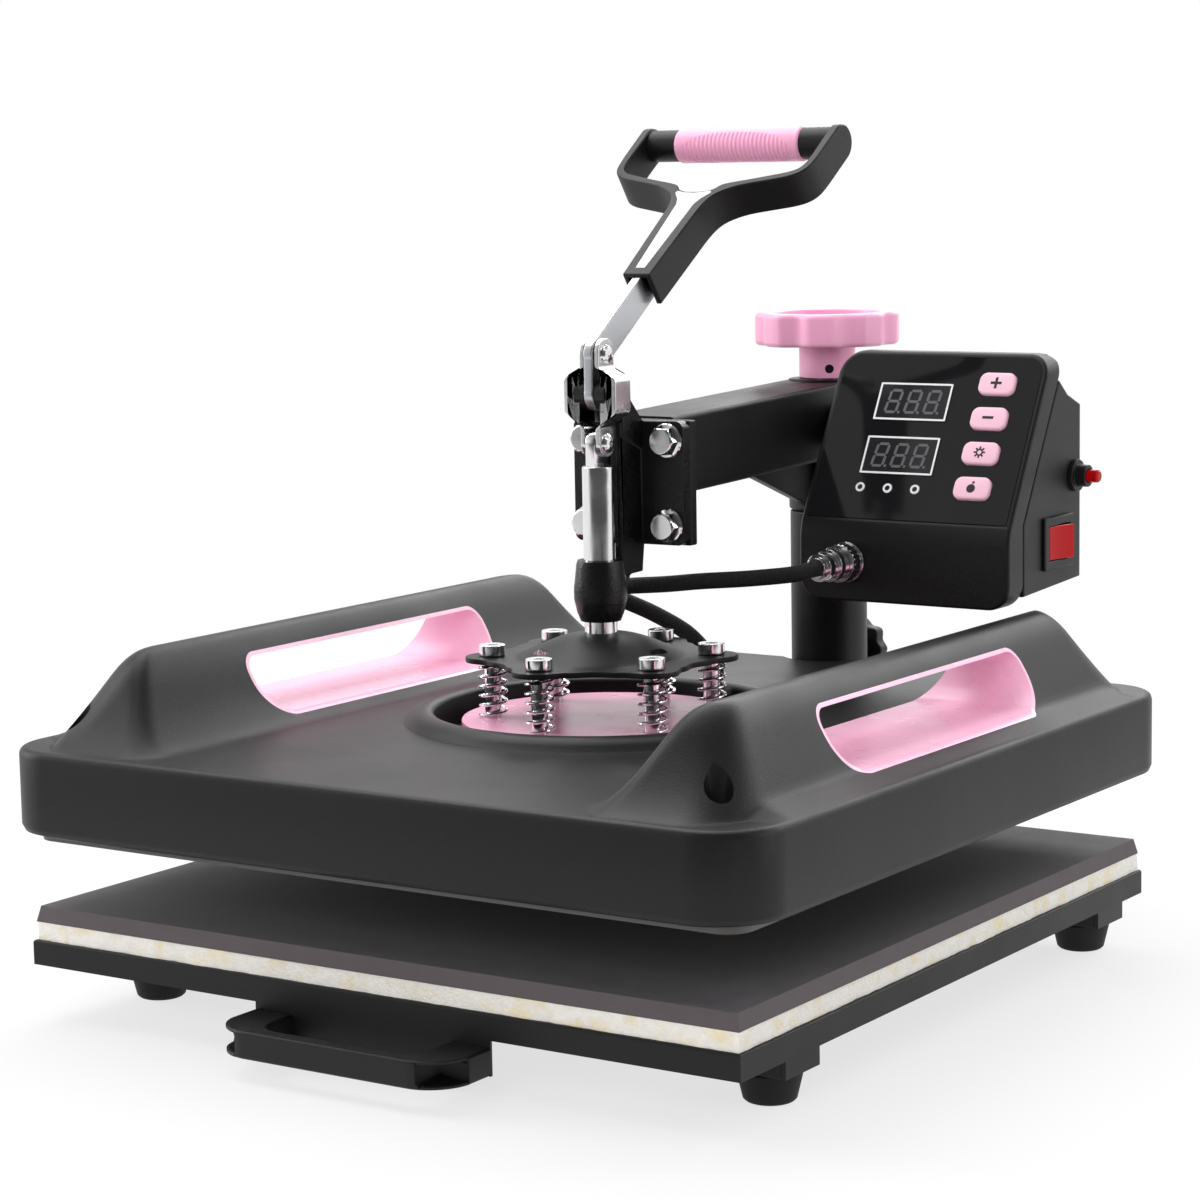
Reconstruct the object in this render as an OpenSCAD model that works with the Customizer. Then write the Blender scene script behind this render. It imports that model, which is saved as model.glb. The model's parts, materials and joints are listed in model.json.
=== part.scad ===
// Combo heat press: swing-away arm, toggle lever, sprung heating platen and slide-out tray.
// Millimetres. +X is the operator's right, +Y the rear, +Z up.
// The platen axis is drawn at x = 0, y = 0; in_frame() shifts every piece once, so that the
// origin ends up on the floor under the middle of the bounding box.

/* [Lower tray] */
// side of the square pressing pad
pad_size = 380; // [350:1:400]
// thickness of the felt layer
felt_h = 8.5; // [6:0.5:12]
// thickness of the silicone layer
silicone_h = 7.5; // [5:0.5:12]
// depth of the folded tray edge
pan_lip = 11.5; // [11:0.5:16]
// reach of the tray pull in front of the tray
pull_reach = 33; // [26:1:45]
// width of the tray pull
pull_w = 127; // [110:1:180]

/* [Base] */
// height of the rubber feet
foot_h = 14; // [10:1:25]
// height of the frame tubes
tube_h = 11.5; // [10:0.5:20]
// outer diameter of the column
column_d = 40; // [34:1:42]
// distance of the column axis behind the rear edge of the cover
column_back = 15; // [12:1:38]

/* [Heated platen] */
// open gap between the pad and the heating plate
press_gap = 31.5; // [26:0.5:34]
// thickness of the heating plate
plate_h = 12; // [8:0.5:16]
// overhang of the cover round the pad
cover_over = 12; // [9:0.5:16]
// height of the cover wall
cover_h = 39.5; // [36:0.5:46]
// corner radius of the cover
cover_r = 30; // [20:1:40]
// height of the carrying ridges over the cover top
ridge_h = 42; // [36:1:50]
// radius of the spring plate
disc_r = 67; // [62:0.5:68]
// circle radius of the six spring bolts
bolt_r = 52; // [48:0.5:54]
// rest length of the coil springs
spring_len = 26.5; // [24:0.5:32]
// spring travel taken up when the press is shut
spring_give = 6.2; // [4:0.1:8]

/* [Toggle head] */
// diameter of the plunger rod
rod_d = 15.5; // [14:0.5:17]
// length of the rod from the pressure plate to its pivot
rod_len = 90; // [86:1:100]
// distance between the link pivots
link_len = 41.6; // [40:0.2:46]
// length of the guide sleeve
sleeve_len = 28.7; // [24:0.5:32]
// diameter of the pivot pins
pin_d = 6; // [5:0.5:7]

/* [Arm] */
// side of the square arm tube
arm_side = 38; // [36:1:42]
// rise of the arm from the head back to the column
arm_rise = 6; // [0:0.5:8]
// half width of the bolted head flange
flange_half = 31; // [29:1:36]
// diameter of the pressure knob
knob_d = 75; // [66:1:80]

/* [Lever] */
// lean of the lever behind the vertical
lean = 54.4; // [48:0.2:58]
// distance from the upper link pivot to the grip axis
lever_len = 165.4; // [155:0.2:180]
// diameter of the hand grip
grip_d = 17.5; // [16:0.5:20]
// length of the hand grip
grip_len = 72; // [64:1:80]

/* [Control box] */
// width of the control box
box_w = 116; // [112:1:124]
// gap between the arm and the control box
box_gap = 15; // [13:0.5:20]
// diameter of the braided cable
cable_d = 8; // [7:0.5:9]

/* [Hidden] */
$fn = 48;

// clearances, each named once
run = 0.06;        // running fit of pins and bores, per side
slide = 0.3;       // sliding fit of tray, buttons and switch, per side
rest_gap = 0.4;    // left between plate and pad when shut
face = 0.3;        // between faces of neighbouring moving pieces
tray_clear = 0.5;  // tray edge over the frame tubes

// heights, stacked from the floor
sheet = 1.5;
z_tube = foot_h + tube_h;
z_pan = z_tube + tray_clear;
z_tray = z_pan + pan_lip;
z_felt = z_tray + felt_h;
z_pad = z_felt + silicone_h;
z_heat = z_pad + press_gap;
z_plate = z_heat + plate_h;
z_cover = z_heat + 4;
z_top = z_cover + cover_h;
z_floor = z_top - 9;
z_disc = z_top + 0.5;
disc_h = 5;
lobe_h = 2.5;
z_lobe = z_disc + spring_len;
dome_h = 10.7;
z_dome = z_lobe + lobe_h + dome_h;
z_c = z_dome + rod_len;
z_b = z_c + link_len;
crank_r = (press_gap - rest_gap + spring_give) / 2;
z_a = z_b - crank_r;
z_sleeve = z_dome + 6;
z_sleeve_top = z_sleeve + sleeve_len;

// plan sizes
pan_half = pad_size / 2 + 1.2;
half = pad_size / 2 + cover_over;
column_y = half + column_back;
foot_x = pan_half - 23;
foot_front = -pan_half + 61;
foot_rear = pan_half - 21;
rail_x = pan_half * 0.58;
arm_half = arm_side / 2;
arm_top = z_a - 13;
arm_low = arm_top - arm_side;
arm_back = arm_top + arm_rise;
spindle_d = column_d - 12;
sleeve_d = max(column_d, arm_side) + 1;
column_top = arm_low - 24.8;
lock_z = z_top;
flange_y = 25.5;
flange_h = 6;
flange_mid = z_a - 43.5;
bolt_x = flange_half - 8.6;
arm_y = flange_y + 2 * flange_h;
bolt_z = 20.25;
front_reach = pan_half + pull_reach;
rear_reach = column_y + knob_d / 2;
platen_y = (front_reach - rear_reach) / 2;
bar_t = 5;
ear_in = bar_t / 2 + face;
box_x = arm_half + box_gap;
box_y = column_y - 87;
box_z = z_a - 110;
tilt = 29.05;
con_x = box_x + 27.6;
con_z = box_z + 19.8;
nose = 2.2;
con_y = box_y - nose;

module in_frame() {
    translate([0, platen_y, 0]) children();
}

module rrect(w, d, r) {
    square([w - 2 * r, d], center = true);
    square([w, d - 2 * r], center = true);
    for (sx = [-1, 1], sy = [-1, 1])
        translate([sx * (w / 2 - r), sy * (d / 2 - r)]) circle(r);
}

// extrudes a (y, z) outline along x from x0 to x1
module along_x(x0, x1) {
    translate([x0, 0, 0]) rotate([90, 0, 90]) linear_extrude(x1 - x0) children();
}

// extrudes an (x, z) outline along y from y0 to y1
module along_y(y0, y1) {
    translate([0, y1, 0]) rotate([90, 0, 0]) linear_extrude(y1 - y0) children();
}

// sweeps a round tube with sides n along a list of points
function unit(v) = v / norm(v);
function tangent(p, i) =
    i == 0 ? unit(p[1] - p[0]) :
    i == len(p) - 1 ? unit(p[i] - p[i - 1]) : unit(p[i + 1] - p[i - 1]);
function side_of(t) = unit(cross(t, abs(t[2]) < 0.8 ? [0, 0, 1] : [0, 1, 0]));
function carried(p, i) =
    i == 0 ? side_of(tangent(p, 0)) :
    let (t = tangent(p, i), s = carried(p, i - 1)) unit(s - t * (s * t));
function ring(p, i, r, n, s) =
    let (t = tangent(p, i), b = cross(t, s))
    [for (k = [0 : n - 1]) p[i] + r * (cos(360 * k / n) * s + sin(360 * k / n) * b)];
module tube_path(p, r, n) {
    m = len(p);
    pts = [for (i = [0 : m - 1]) each ring(p, i, r, n, carried(p, i))];
    walls = [for (i = [0 : m - 2], k = [0 : n - 1])
        let (a = i * n + k, b = i * n + (k + 1) % n)
        each [[a, a + n, b + n], [a, b + n, b]]];
    end = (m - 1) * n;
    first = [for (k = [1 : n - 2]) [0, k, k + 1]];
    last = [for (k = [1 : n - 2]) [end, end + k + 1, end + k]];
    polyhedron(points = pts, faces = concat(walls, first, last), convexity = 6);
}

// base: two cross tubes joined by a spine, open at the ends, with the column foot
tube_len = 2 * pan_half - 18;
tube_d = 28;
wall = 2;
module base_frame() {
    color("#1c1c1e") in_frame() difference() {
        union() {
            for (y = [foot_front, foot_rear])
                translate([-tube_len / 2, y - tube_d / 2, foot_h]) cube([tube_len, tube_d, tube_h]);
            translate([-30, foot_front, foot_h]) cube([60, column_y + 36 - foot_front, tube_h]);
            translate([-42, column_y - 22, z_tube - 0.01]) cube([84, 58, 6.01]);
        }
        for (y = [foot_front, foot_rear])
            translate([-tube_len / 2 - 1, y - tube_d / 2 + wall, foot_h + wall])
                cube([tube_len + 2, tube_d - 2 * wall, tube_h - 2 * wall]);
        translate([-30 + wall, foot_front, foot_h + wall])
            cube([60 - 2 * wall, column_y + 37 - foot_front, tube_h - 2 * wall]);
    }
}
module tube_caps() {
    color("#161617") in_frame()
        for (y = [foot_front, foot_rear], s = [-1, 1])
            translate([s * (tube_len / 2 - 4), y, foot_h + tube_h / 2]) {
                cube([8, tube_d - 2 * wall, tube_h - 2 * wall], center = true);
                translate([s * 5, 0, 0]) cube([2, tube_d, tube_h], center = true);
            }
}
module rubber_feet() {
    color("#131314") in_frame()
        for (x = [-foot_x, foot_x], y = [foot_front, foot_rear])
            translate([x, y, 0]) rotate_extrude()
                polygon([[0, 0], [10, 0], [11.5, 1.5], [14.5, foot_h], [0, foot_h]]);
}
rail_front = -pan_half + 22;
rail_rear = pan_half - 6;
module slide_rails() {
    color("#b9bcc0") in_frame()
        for (x = [-rail_x, rail_x]) difference() {
            translate([x - 10, rail_front, z_tube]) cube([20, rail_rear - rail_front, 5]);
            translate([x - 5 - slide, rail_front - 1, z_tube + 2])
                cube([10 + 2 * slide, rail_rear - rail_front + 2, 4]);
        }
}
module column() {
    color("#1a1a1b") in_frame() translate([0, column_y, 0]) difference() {
        translate([0, 0, z_tube + 6]) cylinder(d = column_d, h = column_top - z_tube - 6);
        translate([0, 0, z_tube + 5]) cylinder(r = spindle_d / 2 + run, h = column_top - z_tube);
        translate([0, 0, lock_z]) rotate([-90, 0, 0]) cylinder(r = 4 + run, h = column_d);
    }
}
lock_r = 15;
lock_lobe = 4.2;
lock_out = 29.5;
lock_h = 8;
module lock_knob() {
    color("#151516") in_frame() translate([0, column_y, lock_z]) rotate([-90, 0, 0]) {
        translate([0, 0, spindle_d / 2 + 0.6]) cylinder(r = 4, h = (column_d - spindle_d) / 2 + 4);
        translate([0, 0, column_d / 2 + 1]) cylinder(r = 7.5, h = lock_out - column_d / 2);
        translate([0, 0, lock_out]) {
            cylinder(r = lock_r - lock_lobe + 1.6, h = lock_h);
            for (k = [0 : 7]) rotate([0, 0, 45 * k + 6]) translate([lock_r - lock_lobe, 0, 0])
                cylinder(r = lock_lobe, h = lock_h, $fn = 24);
        }
    }
}

// tray: folded pan open at the rear, two runners, felt, silicone and the pull
pull_x = 5;
pull_z = z_pan - 15.5;
pull_h = 12.5;
pull_arm = 21;
pull_bar = 8;
pull_fillet = 12;
pull_flange = 1.8;
pocket_w = 15;
module tray_pan() {
    color("#1d1d1f") in_frame() difference() {
        union() {
            translate([-pan_half, -pan_half, z_tray - sheet]) cube([2 * pan_half, 2 * pan_half, sheet]);
            translate([-pan_half, -pan_half, z_pan]) cube([2 * pan_half, sheet, pan_lip]);
            for (s = [-1, 1])
                translate([s * (pan_half - sheet / 2) - sheet / 2, -pan_half, z_pan])
                    cube([sheet, 2 * pan_half, pan_lip]);
            translate([pull_x - pull_w / 2, -pan_half, pull_z])
                cube([pull_w, sheet, z_pan - pull_z + 1]);
        }
        for (s = [-1, 1])
            translate([pull_x + s * (pull_w / 2 - 9), -pan_half - 1, pull_z + pull_h / 2])
                rotate([-90, 0, 0]) cylinder(r = 2, h = 4);
    }
}
module tray_runners() {
    color("#b9bcc0") in_frame()
        for (x = [-rail_x, rail_x])
            translate([x - 5, rail_front, z_tube + 2 + slide])
                cube([10, rail_rear - rail_front, z_tray - sheet - z_tube - 2 - slide]);
}
module felt_pad() {
    color("#e9e4d6") in_frame()
        translate([-pad_size / 2, -pad_size / 2, z_tray]) cube([pad_size, pad_size, felt_h]);
}
silicone_bevel = 1.7;
module silicone_side() {
    foot = pad_size / 2;
    top = foot - silicone_bevel;
    polygon([[-foot, z_felt], [foot, z_felt], [top, z_pad], [-top, z_pad]]);
}
module silicone_pad() {
    color("#3c3a3f") in_frame() intersection() {
        along_x(-pad_size / 2, pad_size / 2) silicone_side();
        along_y(-pad_size / 2, pad_size / 2) silicone_side();
    }
}
module pull_outline(w, d, r) {
    difference() {
        rrect(w, 2 * d, r);
        translate([-w, 0]) square([2 * w, 2 * d]);
        children();
    }
}
module tray_pull() {
    foot = pull_w / 2 - pull_arm;
    deep = pull_bar + pull_fillet;
    color("#222224") in_frame() translate([pull_x, -pan_half, 0]) difference() {
        translate([0, 0, pull_z]) linear_extrude(pull_h) pull_outline(pull_w, pull_reach, 20) {
            translate([-foot, deep - pull_reach]) square([2 * foot, pull_reach]);
            translate([pull_fillet - foot, pull_bar - pull_reach])
                square([2 * (foot - pull_fillet), pull_reach]);
            for (s = [-1, 1])
                translate([s * (foot - pull_fillet), deep - pull_reach]) circle(pull_fillet);
        }
        for (s = [-1, 1]) {
            translate([s * (pull_w / 2 - 9), 1, pull_z + pull_h / 2]) rotate([90, 0, 0])
                cylinder(r = 2, h = 15);
            translate([s * pull_w / 2, -pull_reach + 8, pull_z + pull_h / 2])
                cube([2 * pocket_w, 20, pull_h - 2 * pull_flange], center = true);
        }
    }
}
module pull_screws() {
    color("#c6c8cb") in_frame()
        for (s = [-1, 1])
            translate([pull_x + s * (pull_w / 2 - 9), -pan_half, pull_z + pull_h / 2])
                rotate([90, 0, 0]) {
                    translate([0, 0, -sheet]) cylinder(r = 2, h = 14);
                    translate([0, 0, -sheet - 2]) cylinder(r = 4, h = 2);
                }
}

// arm: spindle in the column, sleeve, square tube, end plate and the cast head bracket
module spindle() {
    color("#aeb1b5") in_frame() translate([0, column_y, 0]) {
        translate([0, 0, z_tube + 6 + face])
            cylinder(d = spindle_d, h = arm_back - 2 - z_tube - 6 - face);
        translate([0, 0, arm_back - 3]) cylinder(d = 12, h = 28);
    }
}
function under(y) = arm_low + arm_rise * (y - arm_y) / (column_y - arm_y);
module arm_view(y0, y1, wall) {
    polygon([[y0, under(y0) + wall], [y1, under(y1) + wall],
        [y1, under(y1) + arm_side - wall], [y0, under(y0) + arm_side - wall]]);
}
module arm_tube() {
    color("#1a1a1b") in_frame() difference() {
        along_x(-arm_half, arm_half) arm_view(arm_y, column_y, 0);
        along_x(-arm_half + 3, arm_half - 3) arm_view(arm_y - 1, column_y + 1, 3);
        translate([0, column_y, arm_low - 1]) cylinder(d = sleeve_d, h = arm_side + arm_rise + 3);
    }
}
module arm_sleeve() {
    color("#1a1a1b") in_frame() difference() {
        union() {
            translate([0, column_y, arm_low - 24])
                cylinder(d = sleeve_d, h = arm_side + arm_rise + 24.5);
            along_x(-3, 3) polygon([[column_y - 89, under(column_y - 89)],
                [column_y - 18, arm_low - 22.6], [column_y - 18, under(column_y - 18)]]);
        }
        translate([0, column_y, arm_low - 25])
            cylinder(r = spindle_d / 2 + run, h = arm_side + arm_rise + 28);
    }
}
module end_plate() {
    color("#1a1a1b") in_frame() difference() {
        translate([-flange_half, flange_y + flange_h, flange_mid - 30])
            cube([2 * flange_half, flange_h, arm_top - flange_mid + 29]);
        for (x = [-bolt_x, bolt_x], z = [-bolt_z, bolt_z])
            translate([x, flange_y, flange_mid + z]) rotate([-90, 0, 0]) cylinder(r = 4, h = 14);
    }
}
web_half = 7.4;
ear_out = 8.5;
ear_r = 7.5;
module head_bracket() {
    rr = rod_d / 2;
    color("#161617") in_frame() difference() {
        union() {
            translate([0, flange_y + flange_h, flange_mid]) rotate([90, 0, 0])
                linear_extrude(flange_h) rrect(2 * flange_half, 59, 4);
            translate([-web_half, rr + 0.8, z_sleeve_top - 8])
                cube([2 * web_half, flange_y - rr, arm_top + 7 - z_sleeve_top]);
            along_x(-6, 6) polygon([[rr - 1, z_sleeve + 6], [rr + 2, z_sleeve + 6],
                [flange_y + 1, flange_mid - 27], [flange_y + 1, z_sleeve_top + 8],
                [rr - 1, z_sleeve_top]]);
            rotate_extrude() polygon([[0, z_sleeve], [rr + 1.8, z_sleeve],
                [rr + 3.4, z_sleeve + 4], [rr + 4.8, z_sleeve + sleeve_len * 0.36],
                [rr + 4.8, z_sleeve + sleeve_len * 0.55], [rr + 3.6, z_sleeve_top - 2],
                [rr + 3, z_sleeve_top], [0, z_sleeve_top]]);
            for (s = [-1, 1]) along_x(s > 0 ? ear_in : -ear_out, s > 0 ? ear_out : -ear_in) {
                translate([0, z_a]) circle(ear_r);
                polygon([[0, z_a + ear_r], [6, z_a + ear_r], [flange_y + 1, arm_top - 2],
                    [flange_y + 1, arm_top - 15], [rr + 1, arm_top - 7], [rr + 1, z_a - ear_r],
                    [0, z_a - ear_r]]);
            }
        }
        cylinder(r = rr + run, h = z_sleeve_top + 20);
        translate([-web_half + 3.5, rr, z_sleeve_top + 6])
            cube([2 * web_half - 7, 3.8, arm_top]);
        translate([-20, 0, z_a]) rotate([0, 90, 0]) cylinder(d = pin_d, h = 40);
        for (x = [-bolt_x, bolt_x], z = [-bolt_z, bolt_z])
            translate([x, flange_y - 1, flange_mid + z]) rotate([-90, 0, 0])
                cylinder(r = 4, h = 10);
    }
}
module flange_bolts() {
    color("#cfd1d4") in_frame()
        for (x = [-bolt_x, bolt_x], z = [-bolt_z, bolt_z])
            translate([x, flange_y, flange_mid + z]) rotate([90, 0, 0]) {
                translate([0, 0, -2 * flange_h]) cylinder(r = 4, h = 2 * flange_h + 1);
                cylinder(r = 8.3, h = 1.6);
                cylinder(r = 7.2, h = 7, $fn = 6);
            }
}
module pivot_pin() {
    color("#c3c5c8") in_frame() translate([0, 0, z_a]) rotate([0, 90, 0]) {
        translate([0, 0, -ear_out - 0.5]) cylinder(d = pin_d, h = 2 * ear_out + 1);
        for (s = [-1, 1])
            translate([0, 0, s * (ear_out + 0.5) - 0.5]) cylinder(d = pin_d + 4, h = 1);
    }
}
knob_rim = 17;
hub_h = 17.2;
notch_r = 8;
module knob_outline() {
    difference() {
        circle(d = knob_d);
        for (k = [0 : 7]) rotate(45 * k + 2) translate([knob_d / 2 + notch_r / 2, 0]) circle(notch_r);
    }
}
module pressure_knob() {
    hub = arm_back + 0.5 + face;
    color("#f3b1c6") in_frame() translate([0, column_y, hub]) difference() {
        union() {
            cylinder(r = 14.7, h = hub_h + 0.5);
            translate([0, 0, hub_h]) linear_extrude(knob_rim) knob_outline();
        }
        translate([0, 0, hub_h + knob_rim - 4]) cylinder(r = knob_d / 2 - 10, h = 5);
        translate([0, 0, -1]) cylinder(r = 6 + run, h = 26.5);
        rotate([0, 0, -56]) translate([3, 0, 5.2]) rotate([0, 90, 0]) cylinder(r = 2.3, h = 15);
    }
}

// control box, hung on the right of the arm; positions on the sloping face use on_panel()
module on_panel() {
    translate([box_x, box_y, box_z + box_wall]) rotate([90 - tilt, 0, 0]) children();
}
btn_x = box_w - 25;
btn_w = 19.4;
btn_h = 11.8;
led_xs = [29.2, 44.5, 59.7];
module button_shape(grow) {
    rrect(btn_w + 2 * grow, btn_h + 2 * grow, 4 + grow);
}
module box_bracket() {
    color("#1a1a1b") in_frame()
        translate([arm_half, box_y + 58, arm_low + 11]) cube([box_gap, 18, arm_side - 16]);
}
function sloped(y, z) = [box_y + y, box_z + z];
box_h = 121;
box_wall = 40;
box_d = 81;
box_r = 12;
skin = 3;
panel_r = 8;
brow = (box_h - box_wall) * tan(tilt);
seam_y = brow + 12.6;
seam_z = box_h - 4.5;
rear_z = box_h - 12.6;
rear_y = 14 + (seam_y - 14) * (rear_z - box_wall) / (seam_z - box_wall);
panel_h = (box_h - box_wall) / cos(tilt) - 4.16;
btn_rows = [for (k = [0 : 3]) panel_h * (0.852 - 0.2102 * k)];
bend = [for (i = [0 : 6]) let (t = i / 6)
    sloped(-nose + (nose + 0.8) * t * t, box_wall - 10 + 11.4 * t)];
module box_view(inset) {
    translate([box_x + box_w / 2, box_z + box_h / 2])
        rrect(box_w - 2 * inset, box_h - 2 * inset, box_r - inset);
}
module panel_shape() {
    translate([box_w / 2, 1.5 + panel_h / 2]) rrect(box_w - 2 * skin, panel_h, panel_r);
    translate([skin, 1.5]) square([box_w - 2 * skin, 40]);
}
module box_front() {
    color("#19191b") in_frame() difference() {
        intersection() {
            along_x(box_x, box_x + box_w) polygon(concat([sloped(-nose, 0)], bend,
                [sloped(brow, box_h), sloped(brow + 8, box_h), sloped(brow + 11.5, box_h - 1.2),
                sloped(seam_y, seam_z), sloped(14, box_wall), sloped(14, 0)]));
            along_y(box_y - 20, box_y + 80) box_view(0);
        }
        intersection() {
            along_x(box_x, box_x + box_w) polygon([sloped(skin - nose, skin),
                sloped(skin - nose, box_wall - 6), sloped(4.6, box_wall + 2),
                sloped(brow + 1.8, box_h - skin), sloped(brow + 21, box_h - skin),
                sloped(22, box_wall), sloped(22, skin)]);
            along_y(box_y - 20, box_y + 80) box_view(skin);
        }
        on_panel() translate([0, 0, -1.2]) linear_extrude(5) panel_shape();
        for (y = btn_rows) on_panel() translate([btn_x, y, -6]) linear_extrude(10) button_shape(slide);
        translate([con_x, con_y - 1, con_z]) rotate([-90, 0, 0]) cylinder(r = 7, h = 6);
    }
}
module box_rear() {
    color("#19191b") in_frame() difference() {
        intersection() {
            along_x(box_x, box_x + box_w) polygon([sloped(14, 5), sloped(14, box_wall),
                sloped(rear_y, rear_z), sloped(rear_y + 10, rear_z - 8), sloped(box_d, rear_z - 16),
                sloped(box_d, 9)]);
            translate([box_x + box_w / 2, box_y, box_z]) linear_extrude(box_h)
                rrect(box_w, 2 * box_d, 6);
        }
        along_x(box_x + skin, box_x + box_w - skin) polygon([sloped(10, 8), sloped(10, box_wall),
            sloped(rear_y - 4, rear_z - 3), sloped(rear_y + 8.5, rear_z - 11),
            sloped(box_d - skin, rear_z - 19), sloped(box_d - skin, 12)]);
        translate([box_x + box_w - 4, box_y + 37, box_z + 18.5]) cube([5, 26, 20]);
        translate([box_x + box_w - 4, box_y + 70, box_z + 59.6]) rotate([0, 90, 0])
            cylinder(r = 4.5, h = 5);
        translate([box_x + 46 - 12, box_y + 77, box_z + 43 - 9]) cube([24, 5, 18]);
        for (x = [9, box_w - 9], z = [18, 84])
            translate([box_x + x, box_y + 77, box_z + z]) rotate([-90, 0, 0]) cylinder(r = 1.5, h = 5);
    }
}
module box_screws() {
    color("#8d9094") in_frame()
        for (x = [9, box_w - 9], z = [18, 84])
            translate([box_x + x, box_y + 81, box_z + z]) rotate([-90, 0, 0]) difference() {
                union() {
                    translate([0, 0, -3]) cylinder(r = 1.5, h = 4);
                    cylinder(r = 3, h = 1.8);
                }
                for (a = [0, 90]) rotate([0, 0, a]) translate([0, 0, 1.6])
                    cube([3.6, 0.7, 1.4], center = true);
            }
}
module panel() {
    color("#0b0b0d") in_frame() on_panel() difference() {
        translate([0, 0, -1.2]) linear_extrude(1.5) panel_shape();
        for (y = btn_rows) translate([btn_x, y, -2]) linear_extrude(4) button_shape(slide);
    }
}
disp_x = 47;
disp_rows = [panel_h * 0.732, panel_h * 0.402];
module displays() {
    color("#2a2b2e") in_frame() on_panel()
        for (y = disp_rows) translate([disp_x - 20, y - 10, 0.3]) cube([40, 20, 0.6]);
}
module led_rings() {
    color("#e8e8ea") in_frame() on_panel()
        for (x = led_xs) translate([x, panel_h * 0.203, 0.3]) difference() {
            cylinder(r = 2.7, h = 0.6);
            translate([0, 0, 0.3]) cylinder(r = 1.6, h = 1);
        }
}
module button(row) {
    color("#f3b1c6") in_frame() on_panel() translate([btn_x, btn_rows[row], -2.4]) {
        linear_extrude(4.4) button_shape(0);
        translate([0, 0, 4.3]) linear_extrude(0.8) button_shape(-1);
    }
}
module button_plus() { button(0); }
module button_minus() { button(1); }
module button_set() { button(2); }
module button_mode() { button(3); }
sw_y = 50;
sw_z = 28.5;
module switch_bezel() {
    color("#121213") in_frame()
        translate([box_x + box_w, box_y + sw_y, box_z + sw_z]) difference() {
            union() {
                translate([0, -16, -13]) cube([2, 32, 26]);
                translate([-12, -13, -10]) cube([13, 26, 20]);
            }
            translate([-10, -11.6, -8.6]) cube([14, 23.2, 17.2]);
        }
}
module rocker_switch() {
    color("#c3121c") in_frame()
        translate([box_x + box_w, box_y + sw_y, box_z + sw_z]) translate([0, 0, -8.6 + slide])
            linear_extrude(17.2 - 2 * slide)
                polygon([[-3, -10.2], [1.2, -10.2], [2.1, 0], [5, 10], [-0.5, 10.2], [-6, 5], [-6, -5]]);
}
rs_y = 70;
rs_z = 59.6;
module reset_bush() {
    color("#141415") in_frame()
        translate([box_x + box_w, box_y + rs_y, box_z + rs_z]) rotate([0, 90, 0]) difference() {
            union() {
                translate([0, 0, -8]) cylinder(r = 4.5, h = 9);
                cylinder(r = 8, h = 2.5);
                translate([0, 0, 2]) cylinder(r = 5.5, h = 6);
            }
            translate([0, 0, -6]) cylinder(r = 3.2 + slide, h = 20);
        }
}
module reset_button() {
    color("#d21a22") in_frame()
        translate([box_x + box_w, box_y + rs_y, box_z + rs_z]) rotate([0, 90, 0]) {
            translate([0, 0, -3]) cylinder(r = 3.2, h = 16);
            translate([0, 0, 12.5]) cylinder(r = 2.6, h = 1.3);
        }
}
module power_inlet() {
    color("#101011") in_frame()
        translate([box_x + 46, box_y + 81, box_z + 43]) difference() {
            union() {
                translate([-16, 0, -12]) cube([32, 2, 24]);
                translate([-12, -16, -9]) cube([24, 17, 18]);
            }
            translate([-10, -13, -7]) cube([20, 16, 14]);
        }
}
module connector_socket() {
    color("#c9ccd0") in_frame() translate([con_x, con_y, con_z]) rotate([90, 0, 0]) {
        translate([0, 0, -4]) cylinder(r = 7, h = 6);
        cylinder(r = 10, h = 2);
    }
}
module connector_ring() {
    color("#d6d8db") in_frame() translate([con_x, con_y, con_z]) rotate([90, 0, 0]) difference() {
        union() {
            translate([0, 0, 2 + face]) cylinder(r = 9.3, h = 8);
            for (k = [0 : 23]) rotate([0, 0, 15 * k])
                translate([9.1, 0, 3.5]) cylinder(r = 0.5, h = 5.5, $fn = 6);
        }
        cylinder(r = 7 + run, h = 14);
    }
}
module connector_plug() {
    color("#b4b7bb") in_frame() translate([con_x, con_y, con_z]) rotate([90, 0, 0]) {
        translate([0, 0, 2]) cylinder(r = 7, h = 14);
        translate([0, 0, 15.5]) cylinder(r = 8, h = 4);
        translate([0, 0, 19]) cylinder(r = 6.2, h = 6);
        translate([0, 0, 24.5]) cylinder(r = 7, h = 4);
        translate([0, 0, 28]) cylinder(r = 5.2, h = 4);
    }
}
gland_x = 19;
gland_y = 71;
z_gland = z_floor + 10;
cable_pts = [[con_x, con_y - 32, con_z], [con_x, con_y - 37, con_z],
    [con_x - 2.5, con_y - 43, con_z - 1], [con_x - 10, box_y - 51, con_z - 2],
    [con_x - 24, box_y - 62, con_z - 3], [con_x - 40, box_y - 75, con_z - 3.5],
    [8, 45, con_z - 4.5], [-8, 38.5, con_z - 5.5], [-21, 39.5, con_z - 7.5],
    [-29, 48, con_z - 11.5], [-26, 58.5, con_z - 16], [-13, 66.5, con_z - 23],
    [2, 72, con_z - 32], [12, 74.5, con_z - 42], [17.5, 73.5, z_gland + 13.5],
    [gland_x, gland_y, z_gland + 7], [gland_x, gland_y, z_gland - 1]];
module cable() {
    color("#17171a") in_frame() tube_path(cable_pts, cable_d / 2, 10);
}

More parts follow.
